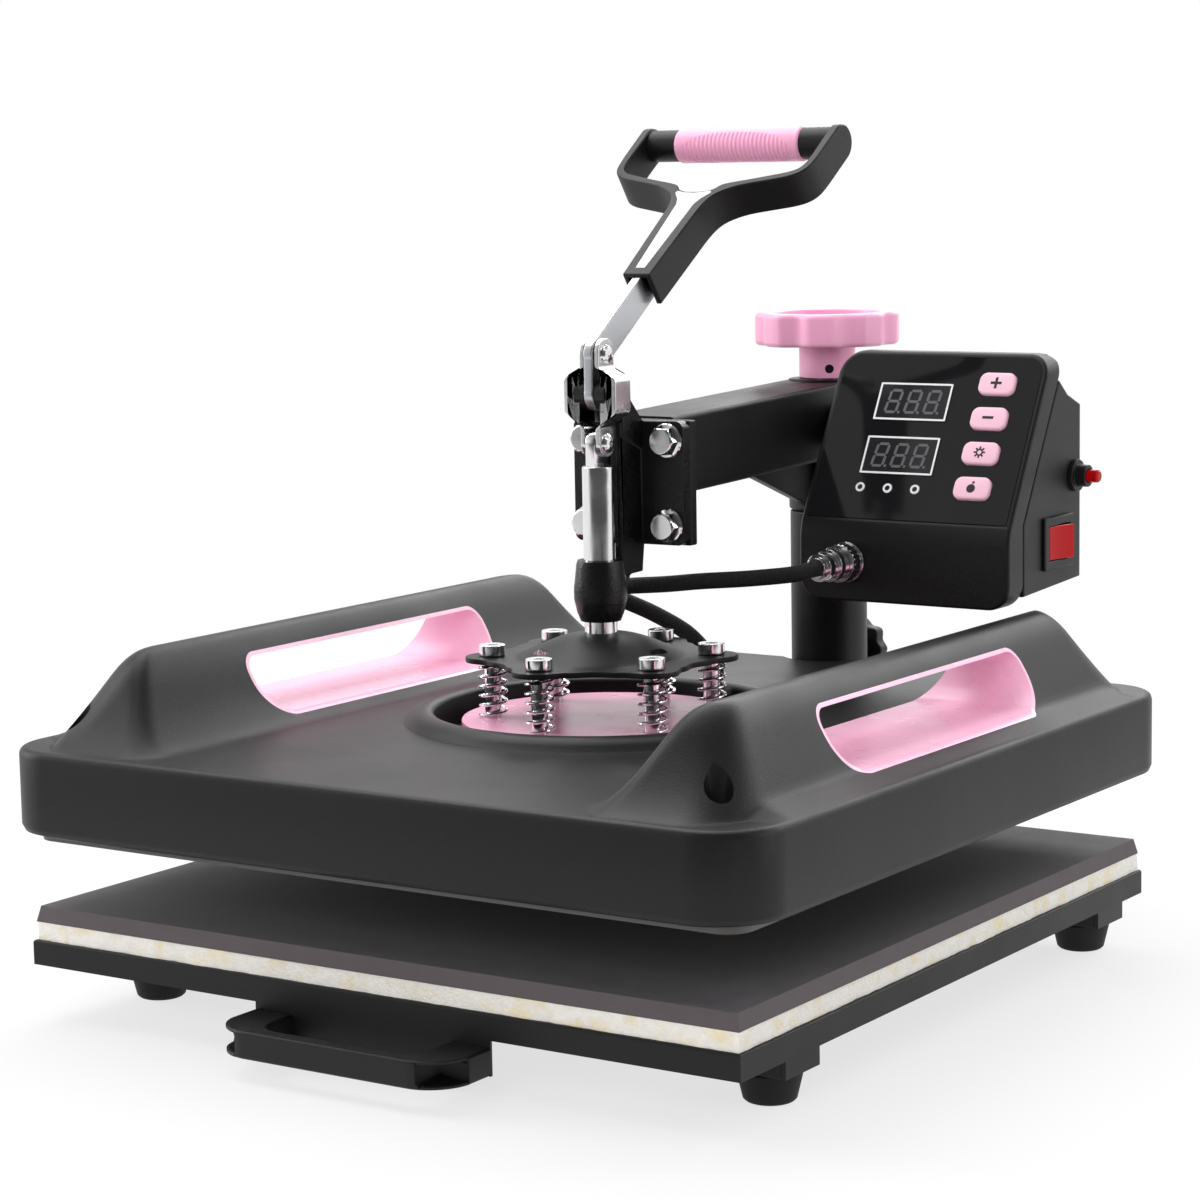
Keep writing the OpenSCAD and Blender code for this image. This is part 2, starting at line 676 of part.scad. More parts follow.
// lever: bent bar, moulded yoke with inset, core and grip; drawn from the upper link pivot
module on_lever() {
    translate([0, 0, z_b]) rotate([90 - lean, 0, 0]) children();
}
neck = 49;
bar_in = 66;
module lever_bar() {
    color("#b6b9bd") in_frame() difference() {
        union() {
            along_x(-bar_t / 2, bar_t / 2) {
                translate([0, z_a]) circle(ear_r + 0.3);
                translate([-ear_r, z_a]) square([2 * ear_r, crank_r]);
                translate([0, z_b]) circle(ear_r + 0.3);
            }
            on_lever() translate([-bar_t / 2, 0, -ear_r]) cube([bar_t, bar_in, 2 * ear_r]);
        }
        for (z = [z_a, z_b]) translate([-10, 0, z]) rotate([0, 90, 0])
            cylinder(r = pin_d / 2 + run, h = 20);
    }
}
yoke_in = grip_len / 2 + 16.3;
yoke_wall = 5;
yoke_t = 18;
inset_t = 1.2;
module yoke_side() {
    polygon([[0, neck], [7.8, neck], [9.3, 100], [10.6, 108], [13.4, 113], [18.6, 117],
        [25, 119.9], [38.5, 123.3], [yoke_in - 5.3, 125.6], [yoke_in + 0.3, 128.8],
        [yoke_in + 3.5, 133.8], [yoke_in + 4.4, 142], [yoke_in + yoke_wall, lever_len],
        [yoke_in, lever_len], [yoke_in, 139], [yoke_in - 1.5, 133.4], [yoke_in - 5.5, 130.4],
        [28.9, 125.2], [14.6, 121.6], [12, 119.9], [10, 116.8], [5.5, 115], [0, 114.6]]);
}
module inset_shape() {
    right = [[2.65, 54], [5, 104], [6.6, 108.5], [10.2, 113.2], [9.6, 115], [5, 113.7], [0, 113.3]];
    polygon(concat(right, [for (k = [5 : -1 : 0]) [-right[k][0], right[k][1]]]));
}
module lever_handle() {
    color("#1b1b1d") in_frame() on_lever() difference() {
        union() {
            translate([0, 0, -yoke_t / 2]) linear_extrude(yoke_t) yoke_side();
            mirror([1, 0, 0]) translate([0, 0, -yoke_t / 2]) linear_extrude(yoke_t) yoke_side();
            for (s = [-1, 1]) translate([s * (yoke_in + yoke_wall / 2), lever_len, 0])
                rotate([0, 90, 0]) cylinder(d = yoke_t, h = yoke_wall, center = true);
        }
        translate([-bar_t / 2, neck - 1, -ear_r]) cube([bar_t, bar_in - neck + 1, 2 * ear_r]);
        translate([-5.3, neck - 1, -9.5]) cube([10.6, 9, 16.5]);
        translate([0, 0, yoke_t / 2 - inset_t]) linear_extrude(3) inset_shape();
        for (s = [-1, 1]) translate([s * (yoke_in + 1.5), lever_len, 0]) rotate([0, 90, 0])
            cylinder(r = 5.5, h = 3.02, center = true);
    }
}
module handle_inset() {
    color("#e6e7e9") in_frame() on_lever() translate([0, 0, yoke_t / 2 - inset_t])
        linear_extrude(inset_t) inset_shape();
}
module grip_core() {
    color("#19191b") in_frame() on_lever() translate([0, lever_len, 0]) rotate([0, 90, 0]) {
        cylinder(r = 5.5, h = 2 * yoke_in + 6, center = true);
        for (s = [-1, 1]) translate([0, 0, s * (grip_len / 2 + yoke_in) / 2])
            cylinder(r = grip_d / 2 - 0.8, h = yoke_in - grip_len / 2, center = true);
    }
}
rib_pitch = 2.4;
rib_h = 0.5;
rib_from = 5;
module lever_grip() {
    ribs = round((grip_len - 2 * rib_from) / rib_pitch);
    step = (grip_len - 2 * rib_from) / ribs;
    top = grip_d / 2;
    rim = [for (i = [0 : ribs - 1]) each [[top, rib_from + i * step],
        [top - rib_h, rib_from + (i + 0.3) * step], [top - rib_h, rib_from + (i + 0.6) * step],
        [top, rib_from + (i + 0.9) * step]]];
    color("#f2aabf") in_frame() on_lever() translate([-grip_len / 2, lever_len, 0])
        rotate([0, 90, 0]) rotate_extrude()
            polygon(concat([[5.5, 0], [top - 0.6, 0], [top, 1]], rim,
                [[top, grip_len - 1], [top - 0.6, grip_len], [5.5, grip_len]]));
}

// links: two pressed plates bulged round the pivot ears, and their rivets
link_half = 6.5;
bulge = 12;
plate_t = 2.6;
module link_side() {
    in0 = ear_in;
    polygon([[in0, z_b + 9], [in0, z_b - 5.6], [bulge, z_b - 9.9], [bulge, z_b - 28],
        [in0, z_b - 34.5], [in0, z_c - 9], [in0 + plate_t, z_c - 9], [in0 + plate_t, z_b - 33.4],
        [bulge + plate_t, z_b - 26.9], [bulge + plate_t, z_b - 11], [in0 + plate_t, z_b - 6.7],
        [in0 + plate_t, z_b + 9]]);
}
module link_plates() {
    color("#d5d7da") in_frame() difference() {
        for (s = [0, 1]) mirror([s, 0, 0]) intersection() {
            along_y(-link_half, link_half) link_side();
            along_x(0, 20) {
                translate([-link_half, z_c]) square([2 * link_half, link_len + 1.2]);
                translate([0, z_b + 1.2]) circle(link_half);
                translate([0, z_c]) circle(link_half);
            }
        }
        for (z = [z_b, z_c]) translate([-20, 0, z]) rotate([0, 90, 0]) cylinder(d = pin_d, h = 40);
    }
}
module rivet_head() {
    rotate_extrude() polygon([[0, 0], [4.6, 0], [4.3, 0.9], [3.2, 1.7], [1.6, 2.1], [0, 2.2]]);
}
module link_rivets() {
    out = ear_in + plate_t;
    color("#cbcdd1") in_frame() {
        translate([-out, 0, z_b]) rotate([0, 90, 0]) cylinder(d = pin_d, h = 2 * out);
        for (s = [0, 1]) mirror([s, 0, 0]) {
            translate([ear_in, 0, z_c]) rotate([0, 90, 0]) cylinder(d = pin_d, h = plate_t);
            for (z = [z_b, z_c]) translate([out, 0, z]) rotate([0, 90, 0]) rivet_head();
        }
    }
}

// plunger: rod with a flat tongue on top and the domed six-lobed pressure plate
module plunger_rod() {
    rr = rod_d / 2;
    color("#cfd1d5") in_frame() {
        translate([0, 0, z_lobe + lobe_h]) cylinder(r = rr, h = z_c - 10.8 - z_lobe - lobe_h);
        along_x(-bar_t / 2, bar_t / 2) {
            translate([0, z_c]) circle(rr - 0.6);
            translate([0.6 - rr, z_c - 11.8]) square([2 * rr - 1.2, 11.8]);
        }
        translate([0, 0, z_lobe + lobe_h - 3]) cylinder(r = rr + 5, h = 4);
    }
}
lobe_r = 13;
module lobed() {
    difference() {
        union() {
            circle(bolt_r + 3);
            for (k = [0 : 5]) rotate(30 + 60 * k) translate([bolt_r, 0]) circle(lobe_r);
        }
        for (k = [0 : 5]) rotate(60 * k) translate([bolt_r + 16, 0]) circle(16.5);
    }
}
module pressure_plate() {
    rr = rod_d / 2;
    base = z_lobe + lobe_h;
    dome_r = 42;
    arc = [for (i = [0 : 10]) let (t = i / 10)
        [dome_r + (rr - dome_r) * t, base + dome_h * sin(90 * t)]];
    under = [for (i = [10 : -1 : 0]) let (t = i / 10)
        [dome_r + (rr - dome_r) * t, base - lobe_h + dome_h * sin(90 * t)]];
    color("#1c1c1e") in_frame() difference() {
        union() {
            difference() {
                translate([0, 0, z_lobe]) linear_extrude(lobe_h) lobed();
                translate([0, 0, z_lobe - 1]) cylinder(r = dome_r - 0.01, h = lobe_h + 2);
            }
            rotate_extrude() polygon(concat(arc, under));
        }
        for (k = [0 : 5]) rotate([0, 0, 30 + 60 * k]) translate([bolt_r, 0, z_lobe - 1])
            cylinder(r = 4 + slide, h = lobe_h + 2);
        for (k = [0 : 2]) rotate([0, 0, 120 * k]) translate([32, 0, z_lobe - 1]) {
            translate([-2, -4, 0]) cube([4, 8, 20]);
            for (s = [-1, 1]) translate([0, 4 * s, 0]) cylinder(r = 2, h = 20, $fn = 24);
        }
    }
}

// platen: heating plate, hub, cover with carrying ridges, spring plate and its bolts
post_x = half - 30;
post_y = half - 28;
module heat_plate() {
    color("#8f8a86") in_frame() difference() {
        translate([0, 0, z_heat]) linear_extrude(plate_h) rrect(pad_size, pad_size, 12);
        for (x = [-post_x, post_x], y = [-post_y, post_y])
            translate([x, y, z_heat + 4]) cylinder(r = 2.5, h = plate_h);
    }
}
module platen_hub() {
    color("#8c8f93") in_frame() difference() {
        union() {
            translate([0, 0, z_plate]) cylinder(r = 34, h = z_disc - disc_h - z_plate);
            translate([0, 0, z_plate]) cylinder(r = 50, h = 5);
        }
        translate([0, 0, z_plate - 1]) cylinder(r = 28, h = z_disc - disc_h - z_plate - 5);
    }
}
module ridge_section(inset) {
    k = ridge_h / 42;
    foot = [for (i = [0 : 5]) let (t = i / 5)
        [half - 92 + 22 * t + inset, z_top - 0.2 + 12 * k * t * t - inset]];
    polygon(concat([[half - 92 + inset, z_top - 3 - inset]], foot, [
        [half - 60.5 + inset, z_top + 29.5 * k - inset],
        [half - 56 + inset, z_top + 39.6 * k - inset], [half - 51, z_top + ridge_h - inset],
        [half - 41, z_top + ridge_h - inset], [half - 36 - inset, z_top + 39 * k - inset],
        [half - 33.5 - inset, z_top + 33 * k - inset], [half - 17 - inset, z_top + 4.7 - inset],
        [half - 2 - inset, z_top - 0.5 - inset], [half - 2 - inset, z_top - 3 - inset]]));
}
module ridge_swoop(inset) {
    top_y = half - 42;
    end_y = half - 4;
    steps = 9;
    curve = [for (i = [0 : steps]) let (t = i / steps)
        [top_y + (end_y - top_y) * t - inset, z_top + ridge_h * pow(1 - t, 1.5) - inset]];
    back = [for (i = [steps : -1 : 0]) [-curve[i][0], curve[i][1]]];
    polygon(concat(curve, [[end_y - inset, z_top - 4 - inset], [inset - end_y, z_top - 4 - inset]],
        back));
}
module ridge(inset) {
    intersection() {
        along_y(-half, half) ridge_section(inset);
        along_x(half - 95, half + 1) ridge_swoop(inset);
        translate([0, 0, z_cover]) linear_extrude(cover_h + ridge_h + 1)
            rrect(2 * (half - inset), 2 * (half - inset), cover_r - inset);
    }
}
win_half = 84;
win_low = z_top + 3.4;
win_top = z_top + 33 * ridge_h / 42;
module window(grow) {
    r = 18 + grow;
    q = 6 + grow;
    w = win_half + grow;
    translate([q - w, win_low - grow + r]) square([2 * w - 2 * q, win_top - win_low + 2 * grow - r]);
    translate([-w, win_low - grow + r]) square([2 * w, win_top - win_low + 2 * grow - r - q]);
    translate([r - w, win_low - grow]) square([2 * w - 2 * r, r + 1]);
    for (s = [-1, 1]) {
        translate([s * (w - r), win_low - grow + r]) intersection() {
            circle(r);
            translate([-r, -r]) square([2 * r, r]);
        }
        translate([s * (w - q), win_top + grow - q]) circle(q);
    }
}
cover_edge = 5;
module soft_top() {
    translate([0, z_cover]) rrect(2 * half, 2 * cover_h, cover_edge);
}
module heat_cover() {
    t = 3;
    color("#212123") in_frame() difference() {
        union() {
            intersection() {
                translate([0, 0, z_cover]) linear_extrude(cover_h) rrect(2 * half, 2 * half, cover_r);
                along_x(-half, half) soft_top();
                along_y(-half, half) soft_top();
            }
            ridge(0);
            mirror([1, 0, 0]) ridge(0);
        }
        difference() {
            union() {
                translate([0, 0, z_cover - 1]) linear_extrude(cover_h - t + 1)
                    rrect(2 * half - 2 * t, 2 * half - 2 * t, cover_r - t);
                ridge(t);
                mirror([1, 0, 0]) ridge(t);
            }
            translate([0, column_y, z_cover - 2]) cylinder(r = column_d / 2 + 6.4, h = cover_h + 2);
            for (x = [-post_x, post_x], y = [-post_y, post_y])
                translate([x, y, z_plate]) cylinder(r = 9, h = cover_h + ridge_h);
            rotate_extrude() polygon([[80, z_floor], [80, z_top], [83.5, z_top], [83.5, z_floor]]);
        }
        translate([0, 0, z_floor - 1]) cylinder(r = 80, h = 20);
        translate([0, column_y, z_cover - 1]) cylinder(r = column_d / 2 + 5.2, h = cover_h + ridge_h);
        for (s = [0, 1]) mirror([s, 0, 0]) along_x(half - 95, half + 5) window(0);
        for (x = [-post_x, post_x], y = [-post_y, post_y]) {
            translate([x, y, z_plate + 4]) cylinder(r = 6, h = cover_h + ridge_h);
            translate([x, y, z_plate - 1]) cylinder(r = 2.5, h = 9);
        }
    }
    color("#212123") in_frame() rotate_extrude()
        polygon([[80, z_top - 1], [80, z_top + 3.5], [81.5, z_top + 5.2], [84, z_top + 5.8],
            [88, z_top + 5.4], [91.5, z_top + 3.8], [94, z_top - 0.2], [94, z_top - 1]]);
}
floor_screws = [20, 140, 200, 320];
module recess_floor() {
    color("#151516") in_frame() difference() {
        translate([0, 0, z_floor - 2.5]) cylinder(r = 88, h = 2.5);
        translate([0, 0, z_floor - 4]) cylinder(r = 34, h = 6);
        for (a = floor_screws) rotate([0, 0, a]) translate([73.5, 0, z_floor - 4])
            cylinder(r = 2, h = 6);
    }
}
module cover_screws() {
    color("#b4b7bb") in_frame() {
        for (x = [-post_x, post_x], y = [-post_y, post_y]) translate([x, y, z_plate]) {
            translate([0, 0, 4]) cylinder(r = 5, h = 3);
            translate([0, 0, -8]) cylinder(r = 2.5, h = 12.5);
        }
        for (a = floor_screws) rotate([0, 0, a]) translate([73.5, 0, z_floor]) {
            translate([0, 0, -2.5]) cylinder(r = 2, h = 3);
            rotate_extrude() polygon([[0, 0], [4.2, 0], [4, 1.2], [2.6, 2.2], [0, 2.6]]);
        }
    }
}
liner = 2.4;
module carry_grip() {
    difference() {
        intersection() {
            along_y(-half, half) ridge_section(0);
            along_x(half - 95, half + 1) window(0);
        }
        along_x(half - 99, half + 5) window(-liner);
    }
}
module right_grip() { color("#f3b1c6") in_frame() carry_grip(); }
module left_grip() { color("#f3b1c6") in_frame() mirror([1, 0, 0]) carry_grip(); }
module spring_plate() {
    color("#f0a9c0") in_frame() difference() {
        translate([0, 0, z_disc - disc_h]) cylinder(r = disc_r, h = disc_h);
        for (k = [0 : 5]) rotate([0, 0, 30 + 60 * k]) translate([bolt_r, 0, z_disc - disc_h - 1])
            cylinder(r = 4, h = disc_h + 2);
    }
}
module spring_bolts() {
    head = z_lobe + lobe_h + face;
    color("#cfd1d4") in_frame()
        for (k = [0 : 5]) rotate([0, 0, 30 + 60 * k]) translate([bolt_r, 0, 0]) difference() {
            union() {
                translate([0, 0, z_disc - disc_h]) cylinder(r = 4, h = head - z_disc + disc_h + 1);
                translate([0, 0, head]) cylinder(r = 6.3, h = 5.2);
            }
            translate([0, 0, head + 2.6]) cylinder(r = 2.9, h = 4, $fn = 6);
        }
}
wire_r = 0.65;
coil_r = 6.4;
turns = 5.5;
coil_low = z_disc + wire_r + 0.1;
coil_high = z_lobe - wire_r - 0.1;
function coil_points(high) = let (n = 8 * turns)
    [for (i = [0 : n]) [coil_r * cos(45 * i), coil_r * sin(45 * i),
        coil_low + (high - coil_low) * i / n]];
// least gap of a coil to itself, over points more than half a turn apart
function least_gap(p) = min([for (i = [0 : len(p) - 6], j = [i + 5 : len(p) - 1])
    norm(p[j] - p[i])]) - 2 * wire_r;
echo(coil_gap_at_rest = least_gap(coil_points(coil_high)),
    coil_gap_shut = least_gap(coil_points(coil_high - spring_give)));
module coil_springs() {
    color("#c4c6ca") in_frame()
        for (k = [0 : 5]) rotate([0, 0, 30 + 60 * k]) translate([bolt_r, 0, 0])
            tube_path(coil_points(coil_high), wire_r, 6);
}
module cable_gland() {
    color("#141415") in_frame() translate([gland_x, gland_y, z_floor]) difference() {
        union() {
            cylinder(r = cable_d / 2 + 2.1, h = 3);
            cylinder(r = cable_d / 2 + 1.6, h = z_gland - z_floor);
        }
        translate([0, 0, 1]) cylinder(r = cable_d / 2 + slide, h = z_gland);
    }
}

base_frame();
tube_caps();
rubber_feet();
slide_rails();
column();
lock_knob();
tray_pan();
tray_runners();
felt_pad();
silicone_pad();
tray_pull();
pull_screws();
spindle();
arm_tube();
arm_sleeve();
end_plate();
head_bracket();
flange_bolts();
pivot_pin();
pressure_knob();
box_bracket();
box_front();
box_rear();
box_screws();
panel();
displays();
led_rings();
button_plus();
button_minus();
button_set();
button_mode();
switch_bezel();
rocker_switch();
reset_bush();
reset_button();
power_inlet();
connector_socket();
connector_ring();
connector_plug();
cable();
lever_bar();
lever_handle();
handle_inset();
grip_core();
lever_grip();
link_plates();
link_rivets();
plunger_rod();
pressure_plate();
heat_plate();
platen_hub();
heat_cover();
recess_floor();
cover_screws();
left_grip();
right_grip();
spring_plate();
spring_bolts();
coil_springs();
cable_gland();
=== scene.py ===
import json
import math

import bmesh
import bpy
from mathutils import Matrix, Vector, noise


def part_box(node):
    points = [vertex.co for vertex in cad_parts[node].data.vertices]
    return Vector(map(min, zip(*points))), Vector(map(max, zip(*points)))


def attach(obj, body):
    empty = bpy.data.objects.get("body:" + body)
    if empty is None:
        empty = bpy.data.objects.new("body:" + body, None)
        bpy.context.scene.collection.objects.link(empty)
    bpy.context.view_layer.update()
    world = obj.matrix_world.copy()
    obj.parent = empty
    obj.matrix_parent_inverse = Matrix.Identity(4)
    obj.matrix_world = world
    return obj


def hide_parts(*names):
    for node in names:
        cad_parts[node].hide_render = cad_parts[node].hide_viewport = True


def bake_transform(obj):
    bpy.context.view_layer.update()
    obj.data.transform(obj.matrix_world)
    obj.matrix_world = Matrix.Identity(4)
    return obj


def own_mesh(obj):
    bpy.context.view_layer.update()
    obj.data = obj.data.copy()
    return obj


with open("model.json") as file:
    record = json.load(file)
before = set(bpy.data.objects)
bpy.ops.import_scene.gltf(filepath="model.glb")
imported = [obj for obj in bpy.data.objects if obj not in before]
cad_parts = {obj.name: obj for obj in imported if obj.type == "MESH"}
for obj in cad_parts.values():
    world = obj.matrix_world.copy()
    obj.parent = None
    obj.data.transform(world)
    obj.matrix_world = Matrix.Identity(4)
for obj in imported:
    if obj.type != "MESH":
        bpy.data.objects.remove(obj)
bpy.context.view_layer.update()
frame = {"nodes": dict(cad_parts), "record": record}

# Camera and studio: a long lens in front and to the right of the press, a little above its
# cover, under large soft lamps. The floor is a seamless pale sheet that keeps a faint shadow.
scene = bpy.context.scene
scene.view_settings.view_transform = "Standard"
CAMERA_TURN = 33.874
CAMERA_DROP = 7.829
CAMERA_ROLL = -1.012
FRONT = (0.557, -0.830, 0.0)


def at(x, y, z):
    return Matrix.Translation((x, y, z))


def spun(degrees, axis):
    return Matrix.Rotation(math.radians(degrees), 4, axis)


camera = bpy.data.objects.new("camera", bpy.data.cameras.new("camera"))
camera.data.lens = 96.0
camera.data.sensor_width = 36.0
camera.data.sensor_fit = "HORIZONTAL"
camera_look = spun(CAMERA_TURN, "Z") @ spun(90.0 - CAMERA_DROP, "X") @ spun(CAMERA_ROLL, "Z")
camera.matrix_world = at(0.8348, -1.2593, 0.3903) @ camera_look
scene.collection.objects.link(camera)
scene.camera = camera


def softbox(name, place, aim, width, height, watts, mirrored=True):
    lamp = bpy.data.lights.new(name, "AREA")
    lamp.shape = "RECTANGLE"
    lamp.size = width
    lamp.size_y = height
    lamp.energy = watts
    stand = bpy.data.objects.new(name, lamp)
    stand.location = place
    stand.rotation_euler = (Vector(aim) - Vector(place)).to_track_quat("-Z", "Y").to_euler()
    stand.visible_camera = False
    stand.visible_glossy = mirrored
    scene.collection.objects.link(stand)


softbox("overhead_lamp", (-0.75, 0.25, 1.9), (0.0, 0.0, 0.1), 2.0, 1.6, 34.0)
softbox("left_lamp", (-2.1, -0.5, 1.0), (0.0, 0.0, 0.2), 0.7, 1.6, 18.0)
softbox("right_lamp", (2.1, 0.4, 0.9), (0.0, 0.0, 0.2), 0.6, 1.6, 9.0)
softbox("back_lamp", (0.2, 2.0, 1.4), (0.0, 0.0, 0.15), 3.2, 0.6, 34.0)
softbox("front_fill", (0.6, -2.3, 1.1), (0.0, 0.0, 0.15), 1.6, 1.0, 22.0, mirrored=False)


def feed(made, inputs):
    for socket, value in inputs.items():
        if isinstance(value, bpy.types.NodeSocket):
            made.id_data.links.new(value, made.inputs[socket])
        else:
            made.inputs[socket].default_value = value
    return made


def shading(tree, kind, inputs=None, **settings):
    made = tree.nodes.new("ShaderNode" + kind)
    for name, value in settings.items():
        setattr(made, name, value)
    return feed(made, inputs or {})


def ranged(tree, value, low, high, start=0.0, end=1.0, **settings):
    spans = {"Value": value, "From Min": low, "From Max": high, "To Min": start, "To Max": end}
    return shading(tree, "MapRange", spans, **settings).outputs["Result"]


def worked(tree, operation, one, two):
    return shading(tree, "Math", {0: one, 1: two}, operation=operation).outputs[0]


def levelled(tree, share, one, two):
    return shading(tree, "Mix", {0: share, 2: one, 3: two}, data_type="FLOAT").outputs[0]


def dark_ahead(tree, way, near, far):
    ahead = shading(tree, "VectorMath", {0: way, 1: FRONT}, operation="DOT_PRODUCT").outputs["Value"]
    return ranged(tree, ahead, near, far, 1.0, 0.08, interpolation_type="SMOOTHSTEP")


world = bpy.data.worlds.new("studio")
world.use_nodes = True
scene.world = world
air = world.node_tree
air_way = shading(air, "TexCoord").outputs["Generated"]
air_path = shading(air, "LightPath").outputs
air_up = shading(air, "SeparateXYZ", {0: air_way}).outputs["Z"]
air_front = dark_ahead(air, air_way, 0.15, 0.75)
air_shine = worked(air, "MULTIPLY", air_front, ranged(air, air_up, 0.25, 0.8, 1.0, 0.3))
air_mirror = levelled(air, air_path["Is Glossy Ray"], 0.42, air_shine)
air_through = worked(air, "MAXIMUM", air_path["Is Camera Ray"], air_path["Is Transmission Ray"])
air_level = levelled(air, air_through, air_mirror, 1.0)
feed(air.nodes["Background"], {"Strength": air_level, "Color": (1.0, 1.0, 1.0, 1.0)})

floor_mesh = bmesh.new()
bmesh.ops.create_grid(floor_mesh, x_segments=4, y_segments=4, size=14.0)
floor_data = bpy.data.meshes.new("floor")
floor_mesh.to_mesh(floor_data)
floor_mesh.free()
floor = bpy.data.objects.new("floor", floor_data)
scene.collection.objects.link(floor)
floor_paint = bpy.data.materials.new("pale_floor")
floor_paint.use_nodes = True
ground = floor_paint.node_tree
ground_skin = ground.nodes["Principled BSDF"]
feed(ground_skin, {"Base Color": (0.82, 0.82, 0.82, 1.0), "Roughness": 0.9, "Specular IOR Level": 0.1})
ground_way = shading(ground, "TexCoord").outputs["Object"]
ground_path = shading(ground, "LightPath").outputs
ground_far = shading(ground, "VectorMath", {0: ground_way}, operation="LENGTH").outputs["Value"]
ground_fade = ranged(ground, ground_far, 0.3, 1.1, 0.72, 1.0)
ground_seen = worked(ground, "MAXIMUM", ground_path["Is Camera Ray"], ground_path["Is Glossy Ray"])
ground_seen = worked(ground, "MAXIMUM", ground_seen, ground_path["Is Transmission Ray"])
ground_share = worked(ground, "MULTIPLY", ground_fade, ground_seen)
ground_front = dark_ahead(ground, ground_way, 0.55, 1.35)
ground_level = levelled(ground, ground_path["Is Glossy Ray"], 1.0, ground_front)
ground_glow = shading(ground, "Emission", {"Strength": ground_level}).outputs[0]
ground_mix = shading(ground, "MixShader", {0: ground_share, 1: ground_skin.outputs[0], 2: ground_glow})
feed(ground.nodes["Material Output"], {"Surface": ground_mix.outputs[0]})
floor_data.materials.append(floor_paint)

# Platen cable: a round braided lead between the locking connector on the control box and the
# gland beside the spring plate. It loops behind the guide sleeve and hangs slack, so that the
# platen can travel.
PLATEN_Y = -0.01515
CABLE_R = 0.004
CABLE_SIDES = 14
cable_route = [Vector((x / 1000.0, y / 1000.0 + PLATEN_Y, z / 1000.0)) for x, y, z in (
    (61.6, 95.8, 191.45), (61.6, 90.8, 191.45), (59.1, 84.8, 190.45), (51.6, 79.0, 189.45),
    (37.6, 68.0, 188.45), (21.6, 55.0, 187.95), (8.0, 45.0, 186.95), (-8.0, 38.5, 185.95),
    (-21.0, 39.5, 183.95), (-29.0, 48.0, 179.95), (-26.0, 58.5, 175.45), (-13.0, 66.5, 168.45),
    (2.0, 72.0, 159.45), (12.0, 74.5, 149.45), (17.5, 73.5, 143.0), (19.0, 71.0, 136.5),
    (19.0, 71.0, 128.5))]


def smoothed(points, share):
    before, start, end, after = points
    square = share * share
    cube = square * share
    return 0.5 * (2.0 * start + (end - before) * share
                  + (2.0 * before - 5.0 * start + 4.0 * end - after) * square
                  + (3.0 * start - before - 3.0 * end + after) * cube)


cable_line = []
for step in range(len(cable_route) - 1):
    around = [cable_route[max(step - 1, 0)], cable_route[step], cable_route[step + 1],
              cable_route[min(step + 2, len(cable_route) - 1)]]
    cable_line += [smoothed(around, part / 6.0) for part in range(6)]
cable_line.append(cable_route[-1])


def new_verts(geom):
    return [g for g in geom if isinstance(g, bmesh.types.BMVert)]


def rim_edges(shape, verts):
    return [e for e in shape.edges if e.verts[0] in verts and e.verts[1] in verts]


tube = bmesh.new()
bmesh.ops.create_circle(tube, cap_ends=True, radius=CABLE_R, segments=CABLE_SIDES)
heading = Vector((0.0, 0.0, 1.0))
run = cable_line[1] - cable_line[0]
bmesh.ops.rotate(tube, verts=tube.verts, matrix=heading.rotation_difference(run).to_matrix())
bmesh.ops.translate(tube, verts=tube.verts, vec=cable_line[0])
cable_along = tube.verts.layers.float.new("along")
cable_turn = tube.verts.layers.int.new("turn")
rim = list(tube.verts)
for number, vert in enumerate(rim):
    vert[cable_turn] = number
cable_length = 0.0
for number in range(1, len(cable_line)):
    rim = new_verts(bmesh.ops.extrude_edge_only(tube, edges=rim_edges(tube, rim))["geom"])
    last_run = run
    run = cable_line[number] - cable_line[number - 1]
    cable_length += run.length
    bmesh.ops.translate(tube, verts=rim, vec=run)
    if number + 1 < len(cable_line):
        next_run = cable_line[number + 1] - cable_line[number - 1]
    else:
        next_run = run
    turn = last_run.rotation_difference(next_run).to_matrix()
    bmesh.ops.rotate(tube, verts=rim, cent=cable_line[number], matrix=turn)
    run = next_run
    for vert in rim:
        vert[cable_along] = cable_length
bmesh.ops.contextual_create(tube, geom=rim_edges(tube, rim))
bmesh.ops.recalc_face_normals(tube, faces=tube.faces)
braid_map = tube.loops.layers.uv.new("braid")
for face in tube.faces:
    turns = [loop.vert[cable_turn] for loop in face.loops]
    wraps = max(turns) - min(turns) > CABLE_SIDES // 2
    for loop in face.loops:
        place = loop.vert[cable_turn]
        if wraps and place == 0:
            place = CABLE_SIDES
        loop[braid_map].uv = (place / CABLE_SIDES, loop.vert[cable_along])


def grain_effect():
    group = bpy.data.node_groups.new("surface_grain", "ShaderNodeTree")
    group.interface.new_socket("Coord", in_out="INPUT", socket_type="NodeSocketVector")
    for name in ("Fine", "Broad"):
        group.interface.new_socket(name, in_out="INPUT", socket_type="NodeSocketFloat")
    for name in ("Height", "Cloud"):
        group.interface.new_socket(name, in_out="OUTPUT", socket_type="NodeSocketFloat")
    entry = group.nodes.new("NodeGroupInput").outputs
    leave = group.nodes.new("NodeGroupOutput")
    for source, target in (("Fine", "Height"), ("Broad", "Cloud")):
        cloud = shading(group, "TexNoise", {"Detail": 3.0, "Roughness": 0.6, "Vector": entry["Coord"],
                                            "Scale": entry[source]})
        feed(leave, {target: cloud.outputs["Fac"]})
    return group


surface_grain = grain_effect()


